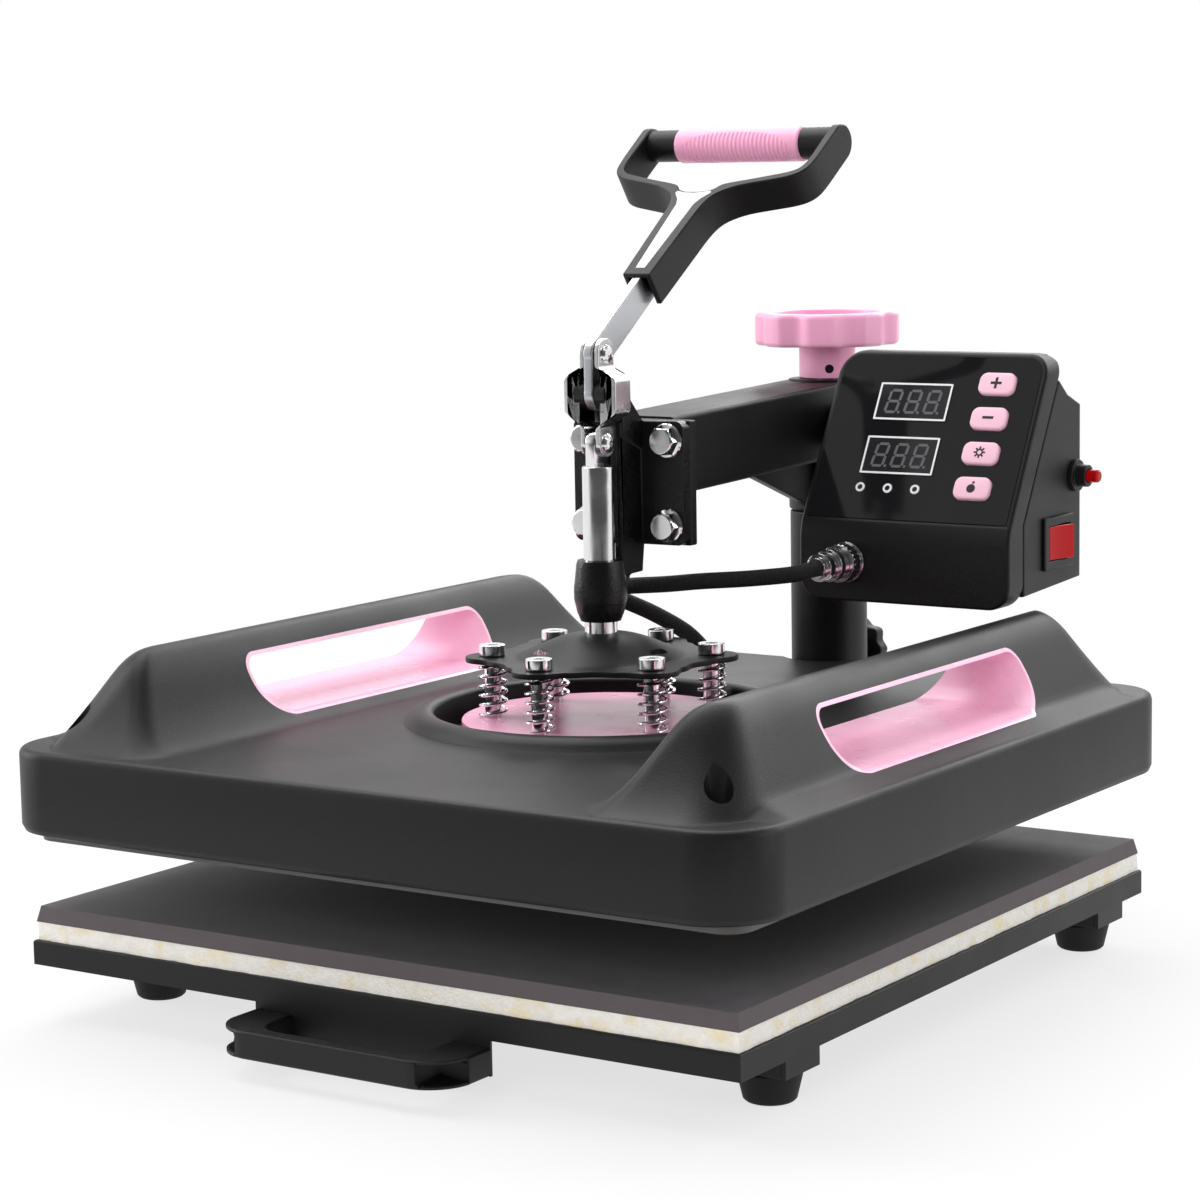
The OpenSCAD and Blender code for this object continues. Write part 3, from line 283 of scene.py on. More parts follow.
def surface(name, colour, rough, fine=1500.0, broad=14.0, depth=0.00003, tint=0.12, polish=0.06,
            metal=0.0, shine=0.5):
    material = bpy.data.materials.new(name)
    material.use_nodes = True
    tree = material.node_tree
    spot = shading(tree, "TexCoord").outputs["Object"]
    grain = feed(shading(tree, "Group", node_tree=surface_grain),
                 {"Coord": spot, "Fine": fine, "Broad": broad})
    cloud = grain.outputs["Cloud"]
    dark = [c * (1.0 - tint) for c in colour] + [1.0]
    light = [min(1.0, c * (1.0 + tint)) for c in colour] + [1.0]
    shade = shading(tree, "Mix", {0: cloud, 6: dark, 7: light}, data_type="RGBA", name="shade")
    gloss = ranged(tree, cloud, 0.3, 0.7, max(0.02, rough - polish), min(1.0, rough + polish))
    bump = shading(tree, "Bump", {"Distance": depth, "Height": grain.outputs["Height"]}, name="bump")
    feed(tree.nodes["Principled BSDF"], {"Base Color": shade.outputs[2], "Roughness": gloss,
                                         "Normal": bump.outputs["Normal"], "Metallic": metal,
                                         "Specular IOR Level": shine})
    return material


braided_sleeve = surface("braided_sleeve", (0.006, 0.006, 0.0065), 0.62, fine=2600.0, depth=0.00002,
                         shine=0.3)
braid = braided_sleeve.node_tree
braid_uv = shading(braid, "UVMap", uv_map="braid").outputs["UV"]
braid_weave = []
for way in (1.0, -1.0):
    lay = shading(braid, "Mapping", {"Vector": braid_uv, "Scale": (way * 9.0, 420.0, 1.0)})
    strand = shading(braid, "TexWave", {"Vector": lay.outputs["Vector"], "Scale": 1.0},
                     bands_direction="DIAGONAL")
    braid_weave.append(strand.outputs["Fac"])
braid_over = worked(braid, "MAXIMUM", *braid_weave)
feed(braid.nodes["bump"], {"Distance": 0.0004, "Height": braid_over})
# Painted shade: the grooves of the weave are coloured darker than the raised strands, by the same weave
# mask that drives the bump.
feed(braid.nodes["shade"], {0: braid_over, 7: (0.014, 0.014, 0.015, 1.0)})

body_of = {node: body for body, nodes in frame["record"]["behaviour"]["bodies"].items() for node in nodes}
slot_of = {row["node"]: row["material_slot"] for row in frame["record"]["subparts"]}


def placed(shape, name, material, crease=40.0):
    mesh = bpy.data.meshes.new(name)
    shape.to_mesh(mesh)
    shape.free()
    mesh.shade_smooth()
    mesh.set_sharp_from_angle(angle=math.radians(crease))
    mesh.materials.append(material)
    made = bpy.data.objects.new(name, mesh)
    scene.collection.objects.link(made)
    return made


cable = placed(tube, "platen_cable", braided_sleeve)
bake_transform(cable)
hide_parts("cable")
tuple(cable_line[0])
[tuple(p) for p in cable_line]

# Base: two cross tubes and a spine welded from black-painted steel tube, closed with push-in
# caps and standing on moulded rubber feet, with a plate that carries the column.
black_paint = surface("black_paint", (0.0055, 0.0055, 0.006), 0.46, fine=1900.0, depth=0.00006,
                      tint=0.2, shine=0.3)
black_plastic = surface("black_plastic", (0.008, 0.008, 0.0085), 0.44, fine=1300.0, depth=0.00008,
                        tint=0.15, shine=0.3)
foot_rubber = surface("foot_rubber", (0.008, 0.008, 0.008), 0.66, fine=900.0, depth=0.00008,
                      tint=0.25, shine=0.3)


def dressed(node, material):
    for place in frame["nodes"][node].material_slots:
        place.material = material


def flattened(shape):
    bmesh.ops.dissolve_limit(shape, angle_limit=math.radians(0.4), verts=shape.verts, edges=shape.edges)
    return shape


def merged(node):
    shape = bmesh.new()
    shape.from_mesh(frame["nodes"][node].data)
    bmesh.ops.remove_doubles(shape, verts=shape.verts, dist=2e-6)
    return flattened(shape)


def corners(shape, least=32.0, where=None):
    found = [e for e in shape.edges if len(e.link_faces) == 2
             and e.calc_face_angle() > math.radians(least)]
    return [e for e in found if where is None or where(e)]


def rounded(shape, edges, width, rounds):
    bmesh.ops.bevel(shape, geom=edges, offset=width, offset_type="OFFSET", segments=rounds, profile=0.5,
                    affect="EDGES", clamp_overlap=False, material=-1)


def carried(made, body, slot, *nodes):
    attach(made, body)
    if nodes:
        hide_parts(*nodes)
    return made


def riding(made, *nodes):
    carried(made, body_of[nodes[0]], slot_of[nodes[0]], *nodes)
    even = made.modifiers.new("even_normals", "WEIGHTED_NORMAL")
    even.keep_sharp = True
    return made


def softened(node, material, width, rounds=2, least=32.0, where=None):
    shape = merged(node)
    rounded(shape, corners(shape, least, where), width, rounds)
    return riding(placed(shape, node + "_made", material), node)


def long_edge(edge):
    return edge.calc_length() > 0.008


softened("base_frame", black_paint, 0.0006, where=long_edge)
softened("rubber_feet", foot_rubber, 0.001, rounds=3)
softened("column", black_paint, 0.0008, where=lambda edge: edge.verts[0].co.z > 0.19)
dressed("tube_caps", black_plastic)

# Lock knob: an eight-lobed knob moulded in black plastic, on a shank through the rear of the
# column, which grips the spindle and stops the arm from swinging.
COLUMN_Y = 0.217 + PLATEN_Y
LOCK_R = 0.015
LOCK_DIP = 0.0022
LOCK_LOBES = 8
LOCK_PHASE = math.radians(6.0)
LOCK_SIDES = 128


def prism(line, low, high):
    shape = bmesh.new()
    foot = shape.faces.new([shape.verts.new((x, y, low)) for x, y in line])
    grown = bmesh.ops.extrude_face_region(shape, geom=[foot], use_keep_orig=True)["geom"]
    bmesh.ops.translate(shape, vec=(0.0, 0.0, high - low), verts=new_verts(grown))
    bmesh.ops.recalc_face_normals(shape, faces=shape.faces)
    return shape


def cylinder(shape, x, y, low, high, radius, sides=96):
    made = bmesh.ops.create_cone(shape, cap_ends=True, segments=sides, radius1=radius, radius2=radius,
                                 depth=high - low)["verts"]
    bmesh.ops.translate(shape, vec=(x, y, (low + high) / 2.0), verts=made)


def set_at(shape, place):
    bmesh.ops.transform(shape, matrix=place, verts=shape.verts)
    return shape


lock_line = []
for step in range(LOCK_SIDES):
    angle = 2.0 * math.pi * step / LOCK_SIDES
    reach = LOCK_R - LOCK_DIP * (0.5 - 0.5 * math.cos(LOCK_LOBES * (angle - LOCK_PHASE)))
    lock_line.append((reach * math.cos(angle), reach * math.sin(angle)))
lock = prism(lock_line, 0.0295, 0.0375)
rounded(lock, corners(lock, 60.0), 0.0012, 3)
cylinder(lock, 0.0, 0.0, 0.021, 0.030, 0.0075, 48)
cylinder(lock, 0.0, 0.0, 0.0146, 0.022, 0.004, 32)
set_at(lock, at(0.0, COLUMN_Y, 0.1285) @ spun(-90.0, "X"))
riding(placed(lock, "lock_lobes", black_plastic), "lock_knob")

# Tray: a folded sheet-steel pan in black paint on two plated runners. They slide in channel
# rails on the cross tubes.
zinc_steel = surface("zinc_steel", (0.56, 0.57, 0.59), 0.34, fine=700.0, broad=40.0, depth=0.00001,
                     tint=0.08, polish=0.1, metal=1.0)
pan_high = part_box("tray_pan")[1]


def pan_rim(edge):
    low_z = min(v.co.z for v in edge.verts)
    low_y = min(v.co.y for v in edge.verts)
    return edge.calc_length() > 0.2 and low_z > pan_high[2] - 0.0005 and low_y < pan_high[1] - 0.01


softened("tray_pan", black_paint, 0.0012, rounds=4, where=pan_rim)
for node in ("slide_rails", "tray_runners", "pull_screws"):
    dressed(node, zinc_steel)

# Felt: a thick layer of pressed off-white fibre with yellowish flecks, cut to the pad's size
# and laid on the pan. Its cut sides are slightly uneven.
felt_low, felt_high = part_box("felt_pad")


def slab(low, high, cuts, layers):
    shape = bmesh.new()
    bmesh.ops.create_cube(shape, size=1.0)
    bmesh.ops.scale(shape, vec=Vector(high) - Vector(low), verts=shape.verts)
    bmesh.ops.translate(shape, vec=(Vector(high) + Vector(low)) / 2.0, verts=shape.verts)
    upright = [e for e in shape.edges if abs(e.verts[0].co.z - e.verts[1].co.z) > 1e-4]
    bmesh.ops.subdivide_edges(shape, edges=upright, cuts=layers, use_grid_fill=True)
    flat = [e for e in shape.edges if abs(e.verts[0].co.z - e.verts[1].co.z) < 1e-4]
    bmesh.ops.subdivide_edges(shape, edges=flat, cuts=cuts, use_grid_fill=True)
    return shape


felt_shape = slab(felt_low, felt_high, 110, 3)
felt_mid = (Vector(felt_low) + Vector(felt_high)) / 2.0
for vert in felt_shape.verts:
    aside = max(abs(vert.co.x - felt_mid.x), abs(vert.co.y - felt_mid.y))
    if aside > felt_high[0] - felt_mid.x - 1e-4:
        ragged = noise.noise(vert.co * 260.0) * 0.0004 + noise.noise(vert.co * 60.0) * 0.0003
        outward = Vector((vert.co.x - felt_mid.x, vert.co.y - felt_mid.y, 0.0)).normalized()
        vert.co += outward * (1.6 * ragged - 0.0007)
felt = surface("pressed_felt", (0.84, 0.81, 0.76), 0.9, fine=700.0, broad=260.0, depth=0.0009, tint=0.10)


def overlaid(material, share, colour):
    tree = material.node_tree
    colours = {0: share, 6: tree.nodes["shade"].outputs[2], 7: (*colour, 1.0)}
    mix = shading(tree, "Mix", colours, data_type="RGBA")
    return feed(tree.nodes["Principled BSDF"], {"Base Color": mix.outputs[2]})


fibre = felt.node_tree
fibre_spot = shading(fibre, "TexCoord").outputs["Object"]
fleck = shading(fibre, "TexNoise", {"Vector": fibre_spot, "Scale": 110.0, "Detail": 2.0}).outputs["Fac"]
feed(overlaid(felt, ranged(fibre, fleck, 0.50, 0.78), (0.82, 0.69, 0.42)), {"Sheen Weight": 0.3})
felt_layer = riding(placed(felt_shape, "felt_layer", felt), "felt_pad")

# Silicone pad: a dense foamed sheet, dark grey on its skin, lying loose on the felt. Its slanting
# cut edges are painted darker and browner than the top, as painted shade on the sides.
pad_low, pad_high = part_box("silicone_pad")
PAD_BEVEL = 0.0017
pad_shape = slab(pad_low, pad_high, 12, 1)
pad_mid = (Vector(pad_low) + Vector(pad_high)) / 2.0
pad_reach = pad_high[0] - pad_mid.x
for vert in pad_shape.verts:
    height = (vert.co.z - pad_low[2]) / (pad_high[2] - pad_low[2])
    narrow = 1.0 - height * PAD_BEVEL / pad_reach
    vert.co.x = pad_mid.x + (vert.co.x - pad_mid.x) * narrow
    vert.co.y = pad_mid.y + (vert.co.y - pad_mid.y) * narrow
rounded(pad_shape, corners(pad_shape, 40.0), 0.0004, 2)
silicone = surface("foamed_silicone", (0.125, 0.119, 0.125), 0.74, fine=1500.0, broad=90.0, depth=0.00012,
                   tint=0.25)
foam = silicone.node_tree
foam_face = shading(foam, "NewGeometry").outputs["Normal"]
foam_up = shading(foam, "SeparateXYZ", {0: foam_face}).outputs["Z"]
# Painted shade: faces that turn away from straight up take a darker, browner colour than the top.
overlaid(silicone, ranged(foam, foam_up, 0.5, 0.9, 1.0, 0.0), (0.092, 0.077, 0.083))
pressing_pad = riding(placed(pad_shape, "pressing_pad", silicone), "silicone_pad")

# Tray pull: a bow handle moulded in black plastic. Two screws hold it to the tab under the
# front of the pan.
softened("tray_pull", black_plastic, 0.0014, rounds=3,
         where=lambda edge: any(abs(face.normal.z) > 0.9 for face in edge.link_faces))

# Spindle and arm: a turned steel spindle in the column carries a welded sleeve and a square
# tube in textured black paint, with a plate welded to its front end.
dressed("spindle", zinc_steel)
softened("arm_tube", black_paint, 0.0024, rounds=3,
         where=lambda edge: abs(edge.verts[0].co.y - edge.verts[1].co.y) > 0.1)
softened("arm_sleeve", black_paint, 0.001)
softened("end_plate", black_paint, 0.0008)

# Head bracket: a black enamelled iron casting with a bolted flange, a guide sleeve for the
# plunger and two ears for the lever pivot. The skin is lightly pitted from the mould.
cast_black = surface("cast_black", (0.005, 0.005, 0.0055), 0.32, fine=700.0, broad=60.0, depth=0.00025,
                     tint=0.2, polish=0.1, shine=0.35)
softened("head_bracket", cast_black, 0.0009, where=lambda edge: edge.calc_length() > 0.0025)
bright_steel = surface("bright_steel", (0.80, 0.80, 0.81), 0.14, fine=500.0, broad=60.0, depth=0.000006,
                       tint=0.05, polish=0.06, metal=1.0)


def lofted(lines, closed=False):
    shape = bmesh.new()
    turn = shape.verts.layers.int.new("turn")
    start = [shape.verts.new(spot) for spot in lines[0]]
    for number, vert in enumerate(start):
        vert[turn] = number
    rim = [shape.edges.new(pair) for pair in zip(start, start[1:] + start[:1])]
    if not closed:
        bmesh.ops.contextual_create(shape, geom=rim)
    for line in lines[1:] + lines[:1] if closed else lines[1:]:
        grown = bmesh.ops.extrude_edge_only(shape, edges=rim)["geom"]
        rim = [g for g in grown if isinstance(g, bmesh.types.BMEdge)]
        for vert in new_verts(grown):
            vert.co = line[vert[turn]]
    if closed:
        bmesh.ops.remove_doubles(shape, verts=shape.verts, dist=1e-7)
    else:
        bmesh.ops.contextual_create(shape, geom=rim)
    shape.verts.layers.int.remove(turn)
    bmesh.ops.recalc_face_normals(shape, faces=shape.faces)
    return shape


def ringed(rings, sides, closed=False):
    lines = []
    for reach, height in rings:
        line = []
        for step in range(sides):
            angle = 2.0 * math.pi * step / sides
            radius = reach(angle) if callable(reach) else reach
            level = height(radius) if callable(height) else height
            line.append((radius * math.cos(angle), radius * math.sin(angle), level))
        lines.append(line)
    return lofted(lines, closed)


HEX_R = 0.0072
BOLT_RIM = 0.0083
bolts_low, bolts_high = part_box("flange_bolts")


def hexagon(angle):
    return HEX_R * math.cos(math.radians(30.0)) / math.cos(math.remainder(angle, math.radians(60.0)))


def chamfered(limit):
    return lambda angle: min(hexagon(angle - math.radians(30.0)), limit)


def joined(shape, piece):
    mesh = bpy.data.meshes.new("joined")
    piece.to_mesh(mesh)
    piece.free()
    shape.from_mesh(mesh)
    bpy.data.meshes.remove(mesh)


bolt_set = bmesh.new()
bolt_rings = [(0.002, -0.0005), (BOLT_RIM, -0.0005), (BOLT_RIM, 0.0009), (BOLT_RIM - 0.0005, 0.0015),
              (chamfered(0.0073), 0.0017), (chamfered(0.0072), 0.0050), (chamfered(0.0070), 0.0057),
              (chamfered(0.0066), 0.0063), (0.0060, 0.0068), (0.0055, 0.0070)]
bolt_mid = (bolts_low[2] + bolts_high[2]) / 2.0
for side_x in (-1.0, 1.0):
    for side_z in (-1.0, 1.0):
        bolt_x = side_x * (bolts_high[0] - BOLT_RIM)
        bolt_z = bolt_mid + side_z * ((bolts_high[2] - bolts_low[2]) / 2.0 - BOLT_RIM)
        bolt_place = at(bolt_x, bolts_low[1] + 0.007, bolt_z) @ spun(90.0, "X")
        joined(bolt_set, set_at(ringed(bolt_rings, 96), bolt_place))
riding(placed(bolt_set, "flange_screws", bright_steel, 25.0), "flange_bolts")
dressed("pivot_pin", bright_steel)

# Pressure knob: a pink moulded hand wheel with eight shallow notches, dished on top, whose
# hub is fixed to the spindle's thread by a set screw.
pink_plastic = surface("pink_plastic", (0.95, 0.43, 0.64), 0.30, fine=900.0, broad=20.0, depth=0.00002,
                       tint=0.03, polish=0.05)


def translucent(material, weight):
    shader = material.node_tree.nodes["Principled BSDF"]
    feed(shader, {"Subsurface Weight": weight, "Subsurface Scale": 0.002})


translucent(pink_plastic, 0.08)
knob_low, knob_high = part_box("pressure_knob")
KNOB_R = 0.0375
NOTCH_R = 0.008
KNOB_RIM = 0.017
HUB_R = 0.0147
HUB_BORE = 0.0062
KNOB_SIDES = 288


def knob_reach(angle):
    turned = math.remainder(angle - math.radians(2.0), math.radians(45.0))
    notch_at = KNOB_R + NOTCH_R / 2.0
    aside = notch_at * math.sin(turned)
    if abs(aside) >= NOTCH_R:
        return KNOB_R
    return min(KNOB_R, notch_at * math.cos(turned) - math.sqrt(NOTCH_R ** 2 - aside ** 2))


def averaged(reach, angle, degrees):
    near = [reach(angle + math.radians(degrees * share)) for share in (-1.0, -0.5, 0.0, 0.5, 1.0)]
    return sum(near) / len(near)


def knob_ring(inset, height):
    return (lambda angle: averaged(knob_reach, angle, 4.0) - inset, height)


knob_top = knob_high[2]
knob_foot = knob_top - KNOB_RIM
KNOB_EDGE = 0.0025
knob_rings = [(HUB_BORE, knob_low[2]), (HUB_R - 0.0006, knob_low[2]), (HUB_R, knob_low[2] + 0.0006),
              (HUB_R, knob_foot - 0.001), (HUB_R + 0.001, knob_foot)]
knob_edge = [(1.0 - math.sin(math.radians(18.0 * step)), 1.0 - math.cos(math.radians(18.0 * step)))
             for step in range(6)]
knob_rings += [knob_ring(KNOB_EDGE * inset, knob_foot + KNOB_EDGE * rise) for inset, rise in knob_edge]
knob_rings += [knob_ring(KNOB_EDGE * inset, knob_top - KNOB_EDGE * drop) for drop, inset in knob_edge]
knob_rings += [(0.0285, knob_top), (0.0279, knob_top - 0.0003), (0.0275, knob_top - 0.001),
               (0.0272, knob_top - 0.0034), (0.0266, knob_top - 0.004), (0.002, knob_top - 0.004)]
knob = set_at(ringed(knob_rings, KNOB_SIDES), at(0.0, COLUMN_Y, 0.0))
riding(placed(knob, "knob_wheel", pink_plastic, 50.0), "pressure_knob")
set_screw = bmesh.new()
cylinder(set_screw, 0.0, 0.0, HUB_R - 0.002, HUB_R + 0.0001, 0.0023, 32)
set_at(set_screw, at(0.0, COLUMN_Y, knob_low[2] + 0.0052) @ spun(-56.0, "Z") @ spun(90.0, "Y"))
carried(placed(set_screw, "knob_set_screw", black_plastic), "knob", slot_of["pressure_knob"])

# Control box: front and rear shells moulded in satin black plastic, closed by four screws and
# hung on a bracket beside the arm.
box_low, box_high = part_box("box_front")
BOX_CORNER = 0.012


def corner_reach(over, up):
    return math.hypot(max(over, 0.0), max(up, 0.0)) + min(max(over, up), 0.0)


def box_outline_gap(point):
    mid_x = (box_low[0] + box_high[0]) / 2.0
    mid_z = (box_low[2] + box_high[2]) / 2.0
    over_x = abs(point.x - mid_x) - (box_high[0] - mid_x - BOX_CORNER)
    over_z = abs(point.z - mid_z) - (box_high[2] - mid_z - BOX_CORNER)
    return abs(corner_reach(over_x, over_z) - BOX_CORNER)


def on_box_outline(edge):
    return all(box_outline_gap(v.co) < 0.0004 for v in edge.verts)


softened("box_front", black_plastic, 0.0016, rounds=3, where=on_box_outline)
rear_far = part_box("box_rear")[1][1]


def rear_cross_edge(edge):
    across = abs(edge.verts[0].co.x - edge.verts[1].co.x)
    return across > 0.09 and min(v.co.y for v in edge.verts) > rear_far - 0.0005


rear_shell = merged("box_rear")
rounded(rear_shell, corners(rear_shell, 20.0, rear_cross_edge), 0.005, 5)
rounded(rear_shell, corners(rear_shell, 32.0, long_edge), 0.0012, 2)
riding(placed(rear_shell, "rear_shell", black_plastic), "box_rear")
softened("box_bracket", black_paint, 0.0008)
dressed("box_screws", zinc_steel)

# Panel: a gloss black plastic sheet, let into the sloping front of the box inside its rim.
# The keys and the displays stand in it.
panel_gloss = surface("panel_gloss", (0.009, 0.009, 0.010), 0.08, fine=300.0, broad=10.0, depth=0.000002,
                      tint=0.1, polish=0.03)
dressed("panel", panel_gloss)
PANEL_TILT = 90.0 - 29.05
on_panel = at(0.034, 0.11485, 0.21165) @ spun(PANEL_TILT, "X")

# Displays: two smoked windows with white printed frames, each over three unlit seven-segment
# figures that lean to the right. Three lights in white rings stand below them.
DISPLAY_X = 0.047
DISPLAY_ROWS = (0.0648, 0.0356)
DISPLAY_TOP = 0.0009
smoked_window = surface("smoked_window", (0.020, 0.020, 0.022), 0.10, fine=300.0, depth=0.000002, tint=0.1,
                        polish=0.03)
unlit_grey = surface("unlit_grey", (0.10, 0.10, 0.105), 0.4, fine=800.0, depth=0.00001)
print_white = surface("print_white", (0.84, 0.84, 0.85), 0.35, fine=800.0, depth=0.00001, tint=0.03)
print_black = surface("print_black", (0.012, 0.010, 0.011), 0.45, fine=800.0, depth=0.00001)


def plate(shape, x, y, low, width, height, thick, corner=0.0, steps=4):
    made = bmesh.ops.create_grid(shape, x_segments=1, y_segments=1, size=0.5)["verts"]
    bmesh.ops.scale(shape, vec=(width, height, 1.0), verts=made)
    bmesh.ops.translate(shape, vec=(x, y, low), verts=made)
    if corner:
        made = bmesh.ops.bevel(shape, geom=made, offset=corner, offset_type="OFFSET", segments=steps,
                               profile=0.5, affect="VERTICES", clamp_overlap=True, material=-1)["verts"]
    faces = {face for vert in made for face in vert.link_faces if all(v in made for v in face.verts)}
    raised = bmesh.ops.extrude_face_region(shape, geom=list(faces), use_keep_orig=True)["geom"]
    top = new_verts(raised)
    bmesh.ops.translate(shape, vec=(0.0, 0.0, thick), verts=top)
    return list(made) + top


def on_body(shape, name, material, body, slot, *nodes):
    bmesh.ops.recalc_face_normals(shape, faces=shape.faces)
    carried(placed(set_at(shape, on_panel), name, material), body, slot, *nodes)


windows = bmesh.new()
frames = bmesh.new()
figures = bmesh.new()
FRAME_LINE = 0.0010
SEGMENT = 0.0014
FIGURE_W = 0.0062
FIGURE_H = 0.0118
for row in DISPLAY_ROWS:
    plate(windows, DISPLAY_X, row, 0.0003, 0.040, 0.020, 0.0006, 0.0012)
    for side in (-1.0, 1.0):
        plate(frames, DISPLAY_X + side * 0.0196, row, DISPLAY_TOP, FRAME_LINE, 0.0200, 0.0001)
        plate(frames, DISPLAY_X, row + side * 0.0096, DISPLAY_TOP, 0.0384, FRAME_LINE, 0.0001)
    for digit in (-1.0, 0.0, 1.0):
        start = DISPLAY_X + digit * 0.0108
        drawn = []
        for level in (-1.0, 0.0, 1.0):
            drawn += plate(figures, start, row + level * FIGURE_H / 2.0, DISPLAY_TOP,
                           FIGURE_W - 0.6 * SEGMENT, SEGMENT, 0.00008, 0.00045, 1)
        for side in (-1.0, 1.0):
            for level in (-1.0, 1.0):
                drawn += plate(figures, start + side * FIGURE_W / 2.0, row + level * FIGURE_H / 4.0,
                               DISPLAY_TOP, SEGMENT, FIGURE_H / 2.0 - 0.6 * SEGMENT, 0.00008, 0.00045, 1)
        drawn += plate(figures, start + FIGURE_W / 2.0 + 0.0016, row - FIGURE_H / 2.0, DISPLAY_TOP,
                       SEGMENT, SEGMENT, 0.00008, 0.0005, 2)
        for vert in drawn:
            vert.co.x += (vert.co.y - row) * 0.13
on_body(windows, "display_windows", smoked_window, "arm", "display_grey", "displays")
on_body(frames, "display_frames", print_white, "arm", "white_plastic")
on_body(figures, "display_figures", unlit_grey, "arm", "display_grey")
LED_Y = 0.01797
led_section = ((0.0014, 0.0004), (0.0014, 0.0009), (0.0024, 0.0009), (0.0025, 0.0004))
led_set = bmesh.new()
lens_set = bmesh.new()
for led_x in (0.0292, 0.0445, 0.0597):
    joined(led_set, set_at(ringed(led_section, 48, closed=True), at(led_x, LED_Y, 0.0)))
    cylinder(lens_set, led_x, LED_Y, 0.0003, 0.0006, 0.00145, 32)
on_body(led_set, "status_rings", print_white, "arm", "white_plastic", "led_rings")
on_body(lens_set, "status_lenses", smoked_window, "arm", "display_grey")

# Keys: four pink soft-touch caps that stand through the panel, each with a plain black sign
# printed on it: more, less, a toothed wheel and a dial.
key_pink = surface("key_pink", (0.93, 0.56, 0.69), 0.34, fine=900.0, broad=20.0, depth=0.00002, tint=0.03)
KEY_X = 0.091
KEY_ROWS = (("plus", 0.0754), ("minus", 0.0568), ("set", 0.0382), ("mode", 0.0196))
KEY_LOW = -0.0024
KEY_TOP = 0.0027
SIGN = 0.00008


def ring_sign(shape, x, y, radius):
    disc = bmesh.ops.create_circle(shape, cap_ends=True, radius=radius, segments=32)["verts"]
    bmesh.ops.translate(shape, vec=(x, y, KEY_TOP), verts=disc)
    faces = [face for face in shape.faces if all(v in disc for v in face.verts)]
    lifted = bmesh.ops.extrude_face_region(shape, geom=faces, use_keep_orig=True)["geom"]
    bmesh.ops.translate(shape, vec=(0.0, 0.0, SIGN), verts=new_verts(lifted))


for key, row in KEY_ROWS:
    cap = bmesh.new()
    plate(cap, KEY_X, row, KEY_LOW, 0.0194, 0.0118, KEY_TOP - KEY_LOW, 0.004, 6)
    bmesh.ops.recalc_face_normals(cap, faces=cap.faces)
    rounded(cap, [e for e in corners(cap, 60.0) if min(v.co.z for v in e.verts) > KEY_TOP - 1e-5],
            0.0013, 4)
    on_body(cap, "key_" + key, key_pink, "key_" + key, "pink_plastic", "button_" + key)
    sign = bmesh.new()
    if key in ("plus", "minus"):
        plate(sign, KEY_X, row, KEY_TOP, 0.0060, 0.0014, SIGN)
    if key == "plus":
        for side in (-1.0, 1.0):
            plate(sign, KEY_X, row + side * 0.00185, KEY_TOP, 0.0014, 0.0023, SIGN)
    if key == "set":
        wheel = [(lambda angle: 0.0025 + 0.0006 * max(-1.0, min(1.0, 3.0 * math.cos(8.0 * angle))), level)
                 for level in (KEY_TOP + SIGN, KEY_TOP)]
        sign.free()
        sign = ringed([(0.0011, KEY_TOP), (0.0011, KEY_TOP + SIGN)] + wheel, 128, closed=True)
        set_at(sign, at(KEY_X, row, 0.0))
    if key == "mode":
        ring_sign(sign, KEY_X, row - 0.0006, 0.0023)
        ring_sign(sign, KEY_X + 0.0008, row + 0.0026, 0.0007)
    on_body(sign, "key_sign_" + key, print_black, "key_" + key, "panel_gloss")

# Switches: a translucent red rocker in a snap-in black bezel and a red reset pin in a black
# bush, both let into the right side of the box, with the mains inlet at the back.
red_plastic = surface("red_plastic", (0.42, 0.003, 0.005), 0.16, fine=700.0, broad=40.0, depth=0.00001,
                      tint=0.1, polish=0.04, shine=0.15)
translucent(red_plastic, 0.15)
softened("rocker_switch", red_plastic, 0.0005, rounds=3)
softened("switch_bezel", black_plastic, 0.0007, where=long_edge)
softened("reset_button", red_plastic, 0.0005, rounds=3)
softened("reset_bush", black_plastic, 0.0005)
softened("power_inlet", black_plastic, 0.0007, where=long_edge)

# Connector: a plated plug in a socket on the lower front of the box. A knurled ring screws
# down over it and locks it there.
for node in ("connector_socket", "connector_ring", "connector_plug"):
    softened(node, bright_steel, 0.00025)

# Lever: a flat plated steel bar, cranked at the pivot, with a moulded black yoke pressed on
# it. A white strip is let into the yoke, and a ribbed pink grip is sleeved on the bar across it.
LEVER_LEAN = 90.0 - 54.4
lever_place = at(0.0, PLATEN_Y, 0.3003) @ spun(LEVER_LEAN, "X")
softened("lever_bar", zinc_steel, 0.0007)
YOKE_HALF = 0.009
YOKE_IN = 0.0523
GRIP_Y = 0.1654
ARM_END = GRIP_Y + 0.014
yoke_right = ((0.0075, 0.039), (0.0093, 0.100), (0.0106, 0.108), (0.0134, 0.113), (0.0186, 0.117),
              (0.0250, 0.1199), (0.0385, 0.1233), (YOKE_IN - 0.0053, 0.1256), (YOKE_IN + 0.0003, 0.1288),
              (YOKE_IN + 0.0035, 0.1338), (YOKE_IN + 0.0044, 0.1420), (YOKE_IN + 0.0050, ARM_END),
              (YOKE_IN, ARM_END), (YOKE_IN, 0.1390), (YOKE_IN - 0.0015, 0.1334), (YOKE_IN - 0.0055, 0.1304),
              (0.0289, 0.1252), (0.0146, 0.1216), (0.0120, 0.1199), (0.0100, 0.1168), (0.0055, 0.1150))
yoke_line = list(yoke_right) + [(0.0, 0.1146)] + [(-x, y) for x, y in reversed(yoke_right)]
side_on = Matrix(((0.0, 0.0, 1.0, 0.0), (1.0, 0.0, 0.0, 0.0), (0.0, 1.0, 0.0, 0.0), (0.0, 0.0, 0.0, 1.0)))


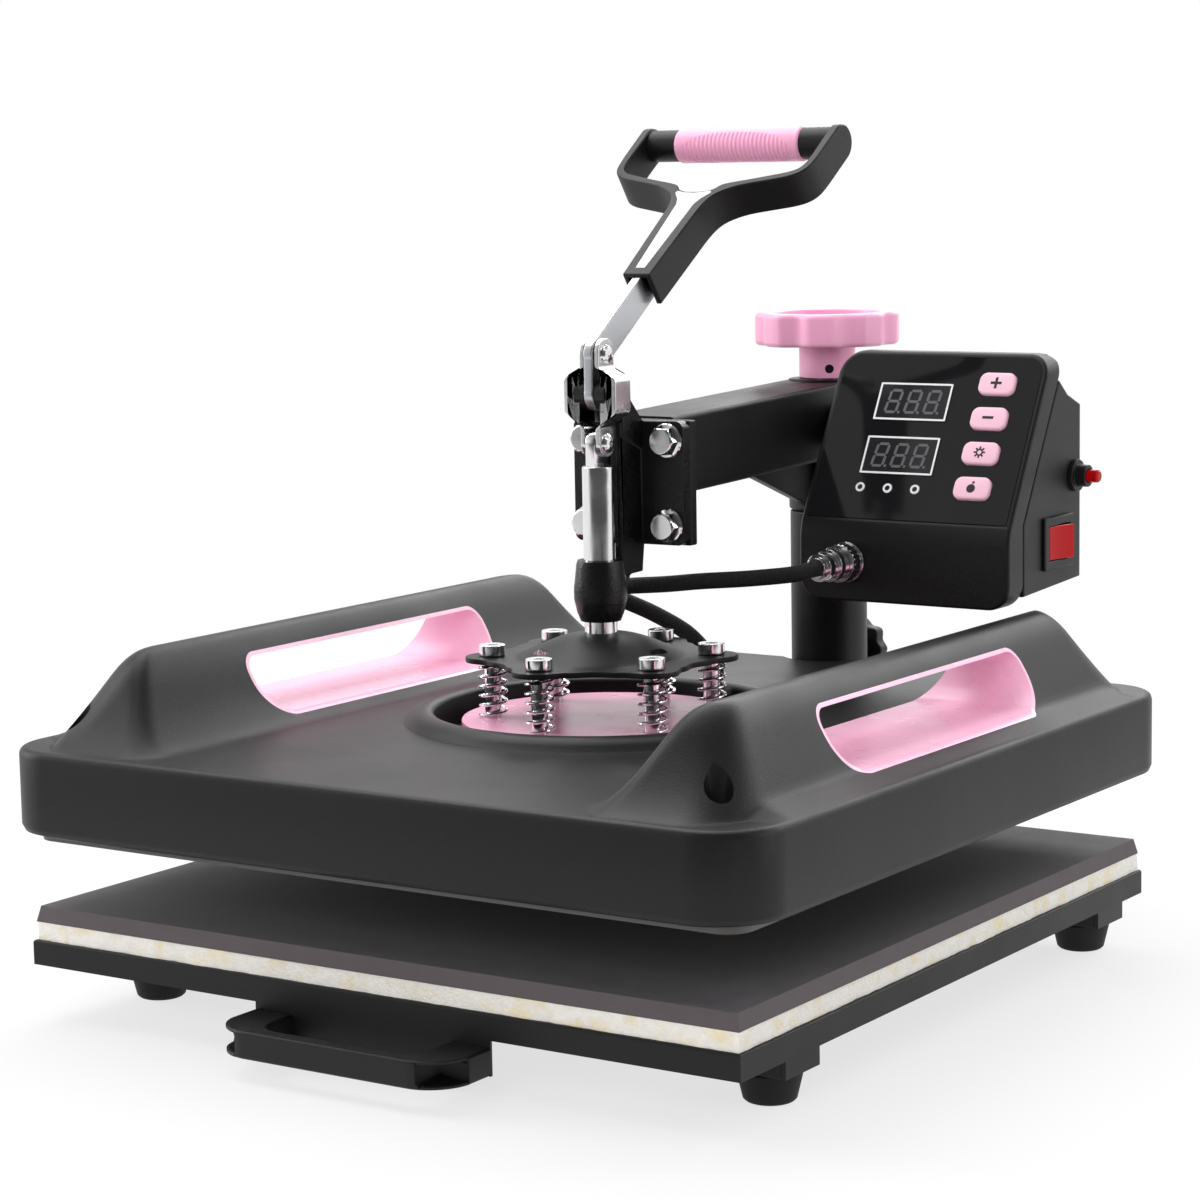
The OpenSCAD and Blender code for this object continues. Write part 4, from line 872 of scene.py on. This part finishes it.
def eased(line, reach, steps=4):
    points = [Vector(p) for p in line]
    result = []
    for number, point in enumerate(points):
        back = points[number - 1] - point
        ahead = points[(number + 1) % len(points)] - point
        start = point + back.normalized() * min(reach, 0.45 * back.length)
        end = point + ahead.normalized() * min(reach, 0.45 * ahead.length)
        for step in range(steps + 1):
            share = step / steps
            spot = start.lerp(point, share).lerp(point.lerp(end, share), share)
            result.append((spot.x, spot.y))
    return result


def cut(made, tool, operation):
    bmesh.ops.recalc_face_normals(tool, faces=tool.faces)
    cutter = placed(tool, "cutter", bright_steel)
    step = made.modifiers.new("cut", "BOOLEAN")
    step.operation = operation
    step.solver = "MANIFOLD"
    step.object = cutter
    graph = bpy.context.evaluated_depsgraph_get()
    result = bpy.data.meshes.new_from_object(made.evaluated_get(graph))
    made.modifiers.clear()
    made.data = result
    bpy.data.objects.remove(cutter)
    result.shade_smooth()
    result.set_sharp_from_angle(angle=math.radians(50.0))


def reopened(made):
    shape = bmesh.new()
    shape.from_mesh(made.data)
    bpy.data.objects.remove(made)
    return flattened(shape)


def arc(radius, first, last, steps):
    angles = [math.radians(first + (last - first) * step / steps) for step in range(steps + 1)]
    return [(radius * math.cos(angle), radius * math.sin(angle)) for angle in angles]


yoke_blank = placed(prism(eased(yoke_line, 0.006), -YOKE_HALF, YOKE_HALF), "yoke_blank", black_plastic)
yoke_end = [(GRIP_Y + y, z) for y, z in arc(YOKE_HALF, -90.0, 90.0, 32)]
yoke_side = [(0.049, -0.01)] + yoke_end + [(0.049, 0.01)]
cut(yoke_blank, set_at(prism(yoke_side, -0.08, 0.08), side_on), "INTERSECT")
yoke = reopened(yoke_blank)
rounded(yoke, corners(yoke, 60.0), 0.0009, 3)
yoke_piece = placed(yoke, "lever_yoke", black_plastic)
pocket = bmesh.new()
plate(pocket, 0.0, 0.0525, -0.0105, 0.0106, 0.009, 0.0175)
cut(yoke_piece, pocket, "DIFFERENCE")
yoke_piece.data.transform(lever_place)
riding(yoke_piece, "lever_handle")
white_plastic = surface("white_plastic", (0.74, 0.74, 0.75), 0.25, fine=700.0, depth=0.00001, tint=0.03)
inset = merged("handle_inset")
bmesh.ops.translate(inset, vec=lever_place.to_3x3() @ Vector((0.0, 0.0, 0.0003)), verts=inset.verts)
rounded(inset, corners(inset, 60.0), 0.0003, 2)
riding(placed(inset, "yoke_inset", white_plastic), "handle_inset")
dressed("grip_core", black_plastic)
GRIP_R = 0.00875
GRIP_HALF = 0.036
RIB_PITCH = 0.0024
RIB_DEPTH = 0.0006
RIB_FACE = math.radians(25.0)
RIB_SPREAD = math.radians(72.0)


def grip_ring(along):
    ends = max(abs(along) - (GRIP_HALF - 0.0015), 0.0) / 0.0015
    smooth = GRIP_R - 0.0015 * (1.0 - math.sqrt(max(1.0 - ends * ends, 0.0)))
    wave = 0.5 - 0.5 * math.cos(2.0 * math.pi * along / RIB_PITCH)

    def reach(angle):
        aside = math.remainder(angle - RIB_FACE, 2.0 * math.pi) / RIB_SPREAD
        inside = 1.0 - aside * aside - (along / (GRIP_HALF - 0.003)) ** 2
        return smooth - RIB_DEPTH * wave * min(max(inside / 0.12, 0.0), 1.0)

    return (reach, along)


grip_rings = [(0.0054, -GRIP_HALF)]
grip_rings += [grip_ring(GRIP_HALF * (step / 120.0 - 1.0)) for step in range(241)]
grip_rings.append((0.0054, GRIP_HALF))
across = Matrix(((0.0, 0.0, 1.0, 0.0), (-1.0, 0.0, 0.0, 0.0), (0.0, -1.0, 0.0, 0.0), (0.0, 0.0, 0.0, 1.0)))
grip_place = at(*(lever_place @ Vector((0.0, GRIP_Y, 0.0)))) @ across
grip = set_at(ringed(grip_rings, 72, closed=True), grip_place)
riding(placed(grip, "ribbed_grip", pink_plastic), "lever_grip")

# Toggle links: two bright plates of pressed steel, bulged round the pivot ears of the head
# bracket and held by domed rivets.
link_steel = surface("link_steel", (0.74, 0.74, 0.75), 0.26, fine=900.0, broad=80.0, depth=0.00002,
                     tint=0.1, polish=0.08, metal=1.0)
LINK_T = 0.0026
LINK_IN = 0.0028
LINK_OUT = 0.012
LINK_HALF = 0.0065
PIN_B = 0.3003
PIN_C = 0.2587
platen_place = at(0.0, PLATEN_Y, 0.0)
side_turn = platen_place @ side_on
front_turn = platen_place @ spun(90.0, "X")
link_inner = [(LINK_IN, PIN_B + 0.009), (LINK_IN, PIN_B - 0.0056), (LINK_OUT, PIN_B - 0.0099),
              (LINK_OUT, PIN_B - 0.0280), (LINK_IN, PIN_B - 0.0345), (LINK_IN, PIN_C - 0.009)]
link_outer = [(LINK_IN, PIN_B + 0.009), (LINK_IN, PIN_B - 0.0067), (LINK_OUT, PIN_B - 0.0110),
              (LINK_OUT, PIN_B - 0.0269), (LINK_IN, PIN_B - 0.0334), (LINK_IN, PIN_C - 0.009)]
link_line = link_inner + [(x + LINK_T, z) for x, z in reversed(link_outer)]
strip = set_at(prism(eased(link_line, 0.0018), -LINK_HALF, LINK_HALF), front_turn)
link_blank = placed(strip, "link_blank", bright_steel)
link_ends = arc(LINK_HALF, 0.0, 180.0, 48)
capsule = [(y, PIN_B + 0.0012 + z) for y, z in link_ends] + [(-y, PIN_C - z) for y, z in link_ends]
cut(link_blank, set_at(prism(capsule, -0.03, 0.03), side_turn), "INTERSECT")
plates = reopened(link_blank)
rounded(plates, corners(plates, 55.0), 0.0005, 2)


def whole(shape):
    return shape.verts[:] + shape.edges[:] + shape.faces[:]


twin = bmesh.ops.duplicate(plates, geom=whole(plates))["geom"]
for vert in new_verts(twin):
    vert.co.x = -vert.co.x
bmesh.ops.recalc_face_normals(plates, faces=plates.faces)
riding(placed(plates, "toggle_links", link_steel), "link_plates")
dressed("link_rivets", bright_steel)

# Plunger: a ground and plated rod, flattened on top for the links, with a pressed six-lobed
# plate in black paint at its foot.
ROD_R = 0.00775
ROD_TOP = 0.2479
TANG_R = ROD_R - 0.0006
TANG_HALF = 0.0025
ROD_LOW = 0.1555
rod_rings = [(0.001, ROD_LOW), (ROD_R, ROD_LOW), (ROD_R, ROD_TOP - 0.0006),
             (ROD_R - 0.0002, ROD_TOP - 0.0002), (ROD_R - 0.0006, ROD_TOP), (0.001, ROD_TOP)]
rod = set_at(ringed(rod_rings, 128), platen_place)
riding(placed(rod, "ground_rod", bright_steel), "plunger_rod")
tang_line = [(-TANG_R, ROD_TOP - 0.001), (TANG_R, ROD_TOP - 0.001)]
tang_line += [(y, PIN_C + z) for y, z in arc(TANG_R, 0.0, 180.0, 48)]
tang = set_at(prism(tang_line, -TANG_HALF, TANG_HALF), side_turn)
rounded(tang, corners(tang, 60.0), 0.0004, 2)
carried(placed(tang, "rod_tang", bright_steel), "plunger", slot_of["plunger_rod"])
LOBE_T = 0.0025
LOBE_R = 0.013
DOME_R = 0.042
DOME_RISE = 0.0107
BOLT_R = 0.052
HOLLOW_AT = BOLT_R + 0.016
HOLLOW_R = 0.0165
PLATE_SIDES = 432


def lobe_reach(angle):
    lobe = math.remainder(angle - math.radians(30.0), math.radians(60.0))
    hollow = math.remainder(angle, math.radians(60.0))
    reach = BOLT_R + 0.003
    aside = BOLT_R * math.sin(lobe)
    if abs(aside) < LOBE_R:
        reach = max(reach, BOLT_R * math.cos(lobe) + math.sqrt(LOBE_R ** 2 - aside ** 2))
    aside = HOLLOW_AT * math.sin(hollow)
    if abs(aside) < HOLLOW_R:
        reach = min(reach, HOLLOW_AT * math.cos(hollow) - math.sqrt(HOLLOW_R ** 2 - aside ** 2))
    return reach


def plate_height(radius):
    share = min(max((DOME_R - radius) / (DOME_R - ROD_R), 0.0), 1.0)
    return DOME_RISE * math.sin(math.radians(90.0) * share) ** 1.25


def plate_ring(radius, inset, lift):
    if radius is None:
        return (lambda angle: averaged(lobe_reach, angle, 3.0) - inset,
                lambda reach: ROD_LOW + lift + plate_height(reach))
    return (radius, ROD_LOW + lift + plate_height(radius))


plate_edge = ((0.0003, 0.0), (0.0, 0.0004), (0.0, LOBE_T - 0.0004), (0.0003, LOBE_T), (0.004, LOBE_T))
plate_rings = [plate_ring(None, inset, lift) for inset, lift in plate_edge]
dome_steps = [DOME_R - (DOME_R - ROD_R) * step / 16.0 for step in range(17)]
plate_rings += [plate_ring(radius, 0.0, LOBE_T) for radius in dome_steps]
plate_rings += [plate_ring(radius, 0.0, 0.0) for radius in reversed(dome_steps)]
pressed = set_at(ringed(plate_rings, PLATE_SIDES, closed=True), platen_place)
pressed_plate = placed(pressed, "pressed_plate", black_paint)
SLOT_AT = 0.032
SLOT_R = 0.002
SLOT_HALF = 0.004
slot_line = [(SLOT_AT + x, SLOT_HALF + y) for x, y in arc(SLOT_R, 0.0, 180.0, 32)]
slot_line += [(2.0 * SLOT_AT - x, -y) for x, y in slot_line]
for place in range(3):
    slot_tool = set_at(prism(slot_line, 0.15, 0.18), platen_place @ spun(120.0 * place, "Z"))
    cut(pressed_plate, slot_tool, "DIFFERENCE")
riding(pressed_plate, "pressure_plate")

# Cover: one large moulding in fine-grained black plastic, with soft edges, two hollow carrying
# ridges that swoop down at their ends and a raised ring round the recess of the spring plate.
COVER_HALF = 0.202
COVER_CORNER = 0.030
COVER_FLAT = COVER_HALF - COVER_CORNER
COVER_TOP = 0.1285
COVER_LOW = 0.089
COVER_EDGE = 0.0035
RIDGE_RISE = 0.042
RECESS_R = 0.082
COVER_CELLS = 170
cover_plastic = surface("cover_plastic", (0.0085, 0.0085, 0.009), 0.42, fine=1100.0, broad=9.0,
                        depth=0.00010, tint=0.15, polish=0.05, shine=0.25)


def soft_min(a, b, reach):
    near = max(reach - abs(a - b), 0.0) / reach
    return min(a, b) - near * near * reach / 4.0


def ridge_rise(x, y):
    across = abs(x)
    rim_x = COVER_HALF - across
    rim_y = COVER_HALF - abs(y)
    inner = -soft_min(0.0, 1.72 * (COVER_HALF - 0.0785 - across), 0.02)
    outer = -soft_min(0.35 * (0.0035 - rim_x), 1.715 * (0.01426 - rim_x), 0.002)
    end = RIDGE_RISE * max((rim_y - 0.004) / 0.038, 0.0) ** 1.65
    crown = soft_min(inner, RIDGE_RISE, 0.012)
    return max(soft_min(crown, soft_min(outer, end, 0.040), 0.012), 0.0)


cover = bmesh.new()
bmesh.ops.create_grid(cover, x_segments=COVER_CELLS, y_segments=COVER_CELLS, size=1.0)
for vert in cover.verts:
    x, y = (COVER_HALF * share * (1.3 - 0.3 * share * share) for share in (vert.co.x, vert.co.y))
    in_x = (abs(x) - COVER_FLAT) / COVER_CORNER
    in_y = (abs(y) - COVER_FLAT) / COVER_CORNER
    if in_x > 0.0 and in_y > 0.0:
        round_x = in_x * math.sqrt(1.0 - in_y * in_y / 2.0)
        round_y = in_y * math.sqrt(1.0 - in_x * in_x / 2.0)
        x = math.copysign(COVER_FLAT + COVER_CORNER * round_x, x)
        y = math.copysign(COVER_FLAT + COVER_CORNER * round_y, y)
    gap = COVER_CORNER - corner_reach(abs(x) - COVER_FLAT, abs(y) - COVER_FLAT)
    short = max(COVER_EDGE - gap, 0.0)
    drop = COVER_EDGE - math.sqrt(max(COVER_EDGE ** 2 - short ** 2, 0.0))
    vert.co = (x, y, COVER_TOP + ridge_rise(x, y) - drop)
rim = [e for e in cover.edges if e.is_boundary]
for height, inset in ((COVER_LOW + 0.004, 0.0), (COVER_LOW + 0.0012, 0.0010), (COVER_LOW, 0.004),
                      (COVER_LOW, 0.008), (0.099, 0.008)):
    grown = bmesh.ops.extrude_edge_only(cover, edges=rim)["geom"]
    ring = new_verts(grown)
    rim = [g for g in grown if isinstance(g, bmesh.types.BMEdge)]
    shrink = (COVER_HALF - inset) / max(abs(v.co.x) for v in ring)
    for vert in ring:
        vert.co = (vert.co.x * shrink, vert.co.y * shrink, height)
bmesh.ops.contextual_create(cover, geom=rim)
bmesh.ops.recalc_face_normals(cover, faces=cover.faces)
cover_solid = placed(set_at(cover, platen_place), "cover_solid", cover_plastic)
WINDOW_HALF = 0.095
WINDOW_LOW = 0.0034
WINDOW_HIGH = 0.033


def window_line(shrink):
    line = []
    for side, top, corner, first in ((1.0, False, 0.018, -90.0), (1.0, True, 0.009, 0.0),
                                     (-1.0, True, 0.009, 90.0), (-1.0, False, 0.018, 180.0)):
        bend = corner - shrink
        middle_y = side * (WINDOW_HALF - shrink - bend)
        middle_z = WINDOW_HIGH - shrink - bend if top else WINDOW_LOW + shrink + bend
        line += [(middle_y + y, middle_z + z) for y, z in arc(bend, first, first + 90.0, 12)]
    return line


openings = bmesh.new()
for low, high in ((0.1, 0.23), (-0.23, -0.1)):
    joined(openings, set_at(prism(window_line(0.0), low, high), at(0.0, 0.0, COVER_TOP) @ side_turn))
cylinder(openings, 0.0, PLATEN_Y, 0.09, 0.2, RECESS_R)
cylinder(openings, 0.0, COLUMN_Y, 0.08, 0.25, 0.0252)
for x in (-0.172, 0.172):
    for y in (-0.174, 0.174):
        cylinder(openings, x, y + PLATEN_Y, 0.101, 0.25, 0.006, 32)
cut(cover_solid, openings, "DIFFERENCE")
cover_solid.name = "cover_moulding"
carried(cover_solid, "platen", slot_of["heat_cover"], "heat_cover")

ring = bmesh.new()
RING_LINE = ((0.080, -0.009), (0.080, 0.0032), (0.0806, 0.0046), (0.0820, 0.0054), (0.0845, 0.0058),
             (0.0875, 0.0055), (0.0905, 0.0044), (0.0925, 0.0026), (0.0942, 0.0004), (0.0955, -0.0006),
             (0.0835, -0.0012), (0.0835, -0.009))
ring_line = [ring.verts.new((r, PLATEN_Y, COVER_TOP + z)) for r, z in RING_LINE]
ring_edges = [ring.edges.new((a, b)) for a, b in zip(ring_line, ring_line[1:] + ring_line[:1])]
bmesh.ops.spin(ring, geom=ring_line + ring_edges, cent=(0.0, PLATEN_Y, 0.0), axis=(0.0, 0.0, 1.0),
               angle=2.0 * math.pi, steps=120, use_merge=True, use_duplicate=False)
bmesh.ops.remove_doubles(ring, verts=ring.verts, dist=1e-6)
bmesh.ops.recalc_face_normals(ring, faces=ring.faces)
carried(placed(ring, "cover_ring", cover_plastic, 50.0), "platen", slot_of["heat_cover"])

# Carry liners: pink moulded sleeves that line the two hand holes through the ridges and end
# flush with the flanks of the cover.
LINER = 0.0018
liner_pink = surface("liner_pink", (0.96, 0.56, 0.73), 0.28, fine=900.0, broad=20.0, depth=0.00002,
                     tint=0.03)


def flank(y, rise, near, far):
    for step in range(30):
        middle = (near + far) / 2.0
        if ridge_rise(middle, y) > rise:
            near = middle
        else:
            far = middle
    return near


for side, node in ((1.0, "right_grip"), (-1.0, "left_grip")):
    lines = []
    for shrink, far in ((0.0, 0.1), (0.0, 0.2), (LINER, 0.2), (LINER, 0.1)):
        lines.append([(side * flank(y, rise, 0.155, far), y + PLATEN_Y, COVER_TOP + rise)
                      for y, rise in window_line(shrink)])
    riding(placed(lofted(lines, closed=True), node + "_liner", liner_pink), node)

# Platen: a coated aluminium heating plate screwed under the cover, with a steel hub, a black
# recess floor and the cable's gland. Little of it shows past the cover and the spring plate.
coated_plate = surface("coated_plate", (0.10, 0.095, 0.09), 0.45, fine=900.0, depth=0.00003, tint=0.15,
                       metal=0.6)
softened("heat_plate", coated_plate, 0.001, where=long_edge)
dressed("platen_hub", zinc_steel)
dressed("recess_floor", black_plastic)
dressed("cover_screws", bright_steel)
dressed("cable_gland", black_plastic)

# Spring plate: a thick steel disc in pink paint with six socket screws, each carrying a coil
# spring under the pressure plate.
pink_paint = surface("pink_paint", (0.93, 0.43, 0.62), 0.26, fine=1000.0, broad=20.0, depth=0.00002,
                     tint=0.03)
softened("spring_plate", pink_paint, 0.0006)
softened("spring_bolts", bright_steel, 0.0004)
SPRING_TURNS = 5.5
SPRING_LOW = 0.12975
SPRING_HIGH = 0.15475
COIL_R = 0.0064
WIRE_R = 0.00065
STEPS_PER_TURN = 24
springs = bmesh.new()
wire = bmesh.ops.create_circle(springs, cap_ends=True, radius=WIRE_R, segments=8)["verts"]
bmesh.ops.rotate(springs, verts=wire, matrix=spun(90.0, "X").to_3x3())
bmesh.ops.translate(springs, verts=wire, vec=(BOLT_R + COIL_R, 0.0, SPRING_LOW))
spring_steps = int(SPRING_TURNS * STEPS_PER_TURN)
bmesh.ops.spin(springs, geom=whole(springs), cent=(BOLT_R, 0.0, 0.0), axis=(0.0, 0.0, 1.0),
               dvec=(0.0, 0.0, (SPRING_HIGH - SPRING_LOW) / spring_steps),
               angle=2.0 * math.pi * SPRING_TURNS, steps=spring_steps, use_merge=False, use_duplicate=False)
bmesh.ops.rotate(springs, verts=springs.verts, matrix=spun(30.0, "Z").to_3x3())
first_coil = whole(springs)
for place in range(1, 6):
    twin = bmesh.ops.duplicate(springs, geom=first_coil)["geom"]
    bmesh.ops.rotate(springs, verts=new_verts(twin), matrix=spun(60.0 * place, "Z").to_3x3())
set_at(springs, platen_place)
bmesh.ops.recalc_face_normals(springs, faces=springs.faces)
spring_coils = placed(springs, "spring_coils", bright_steel)
carried(spring_coils, "platen", slot_of["coil_springs"], "coil_springs")
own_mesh(spring_coils)
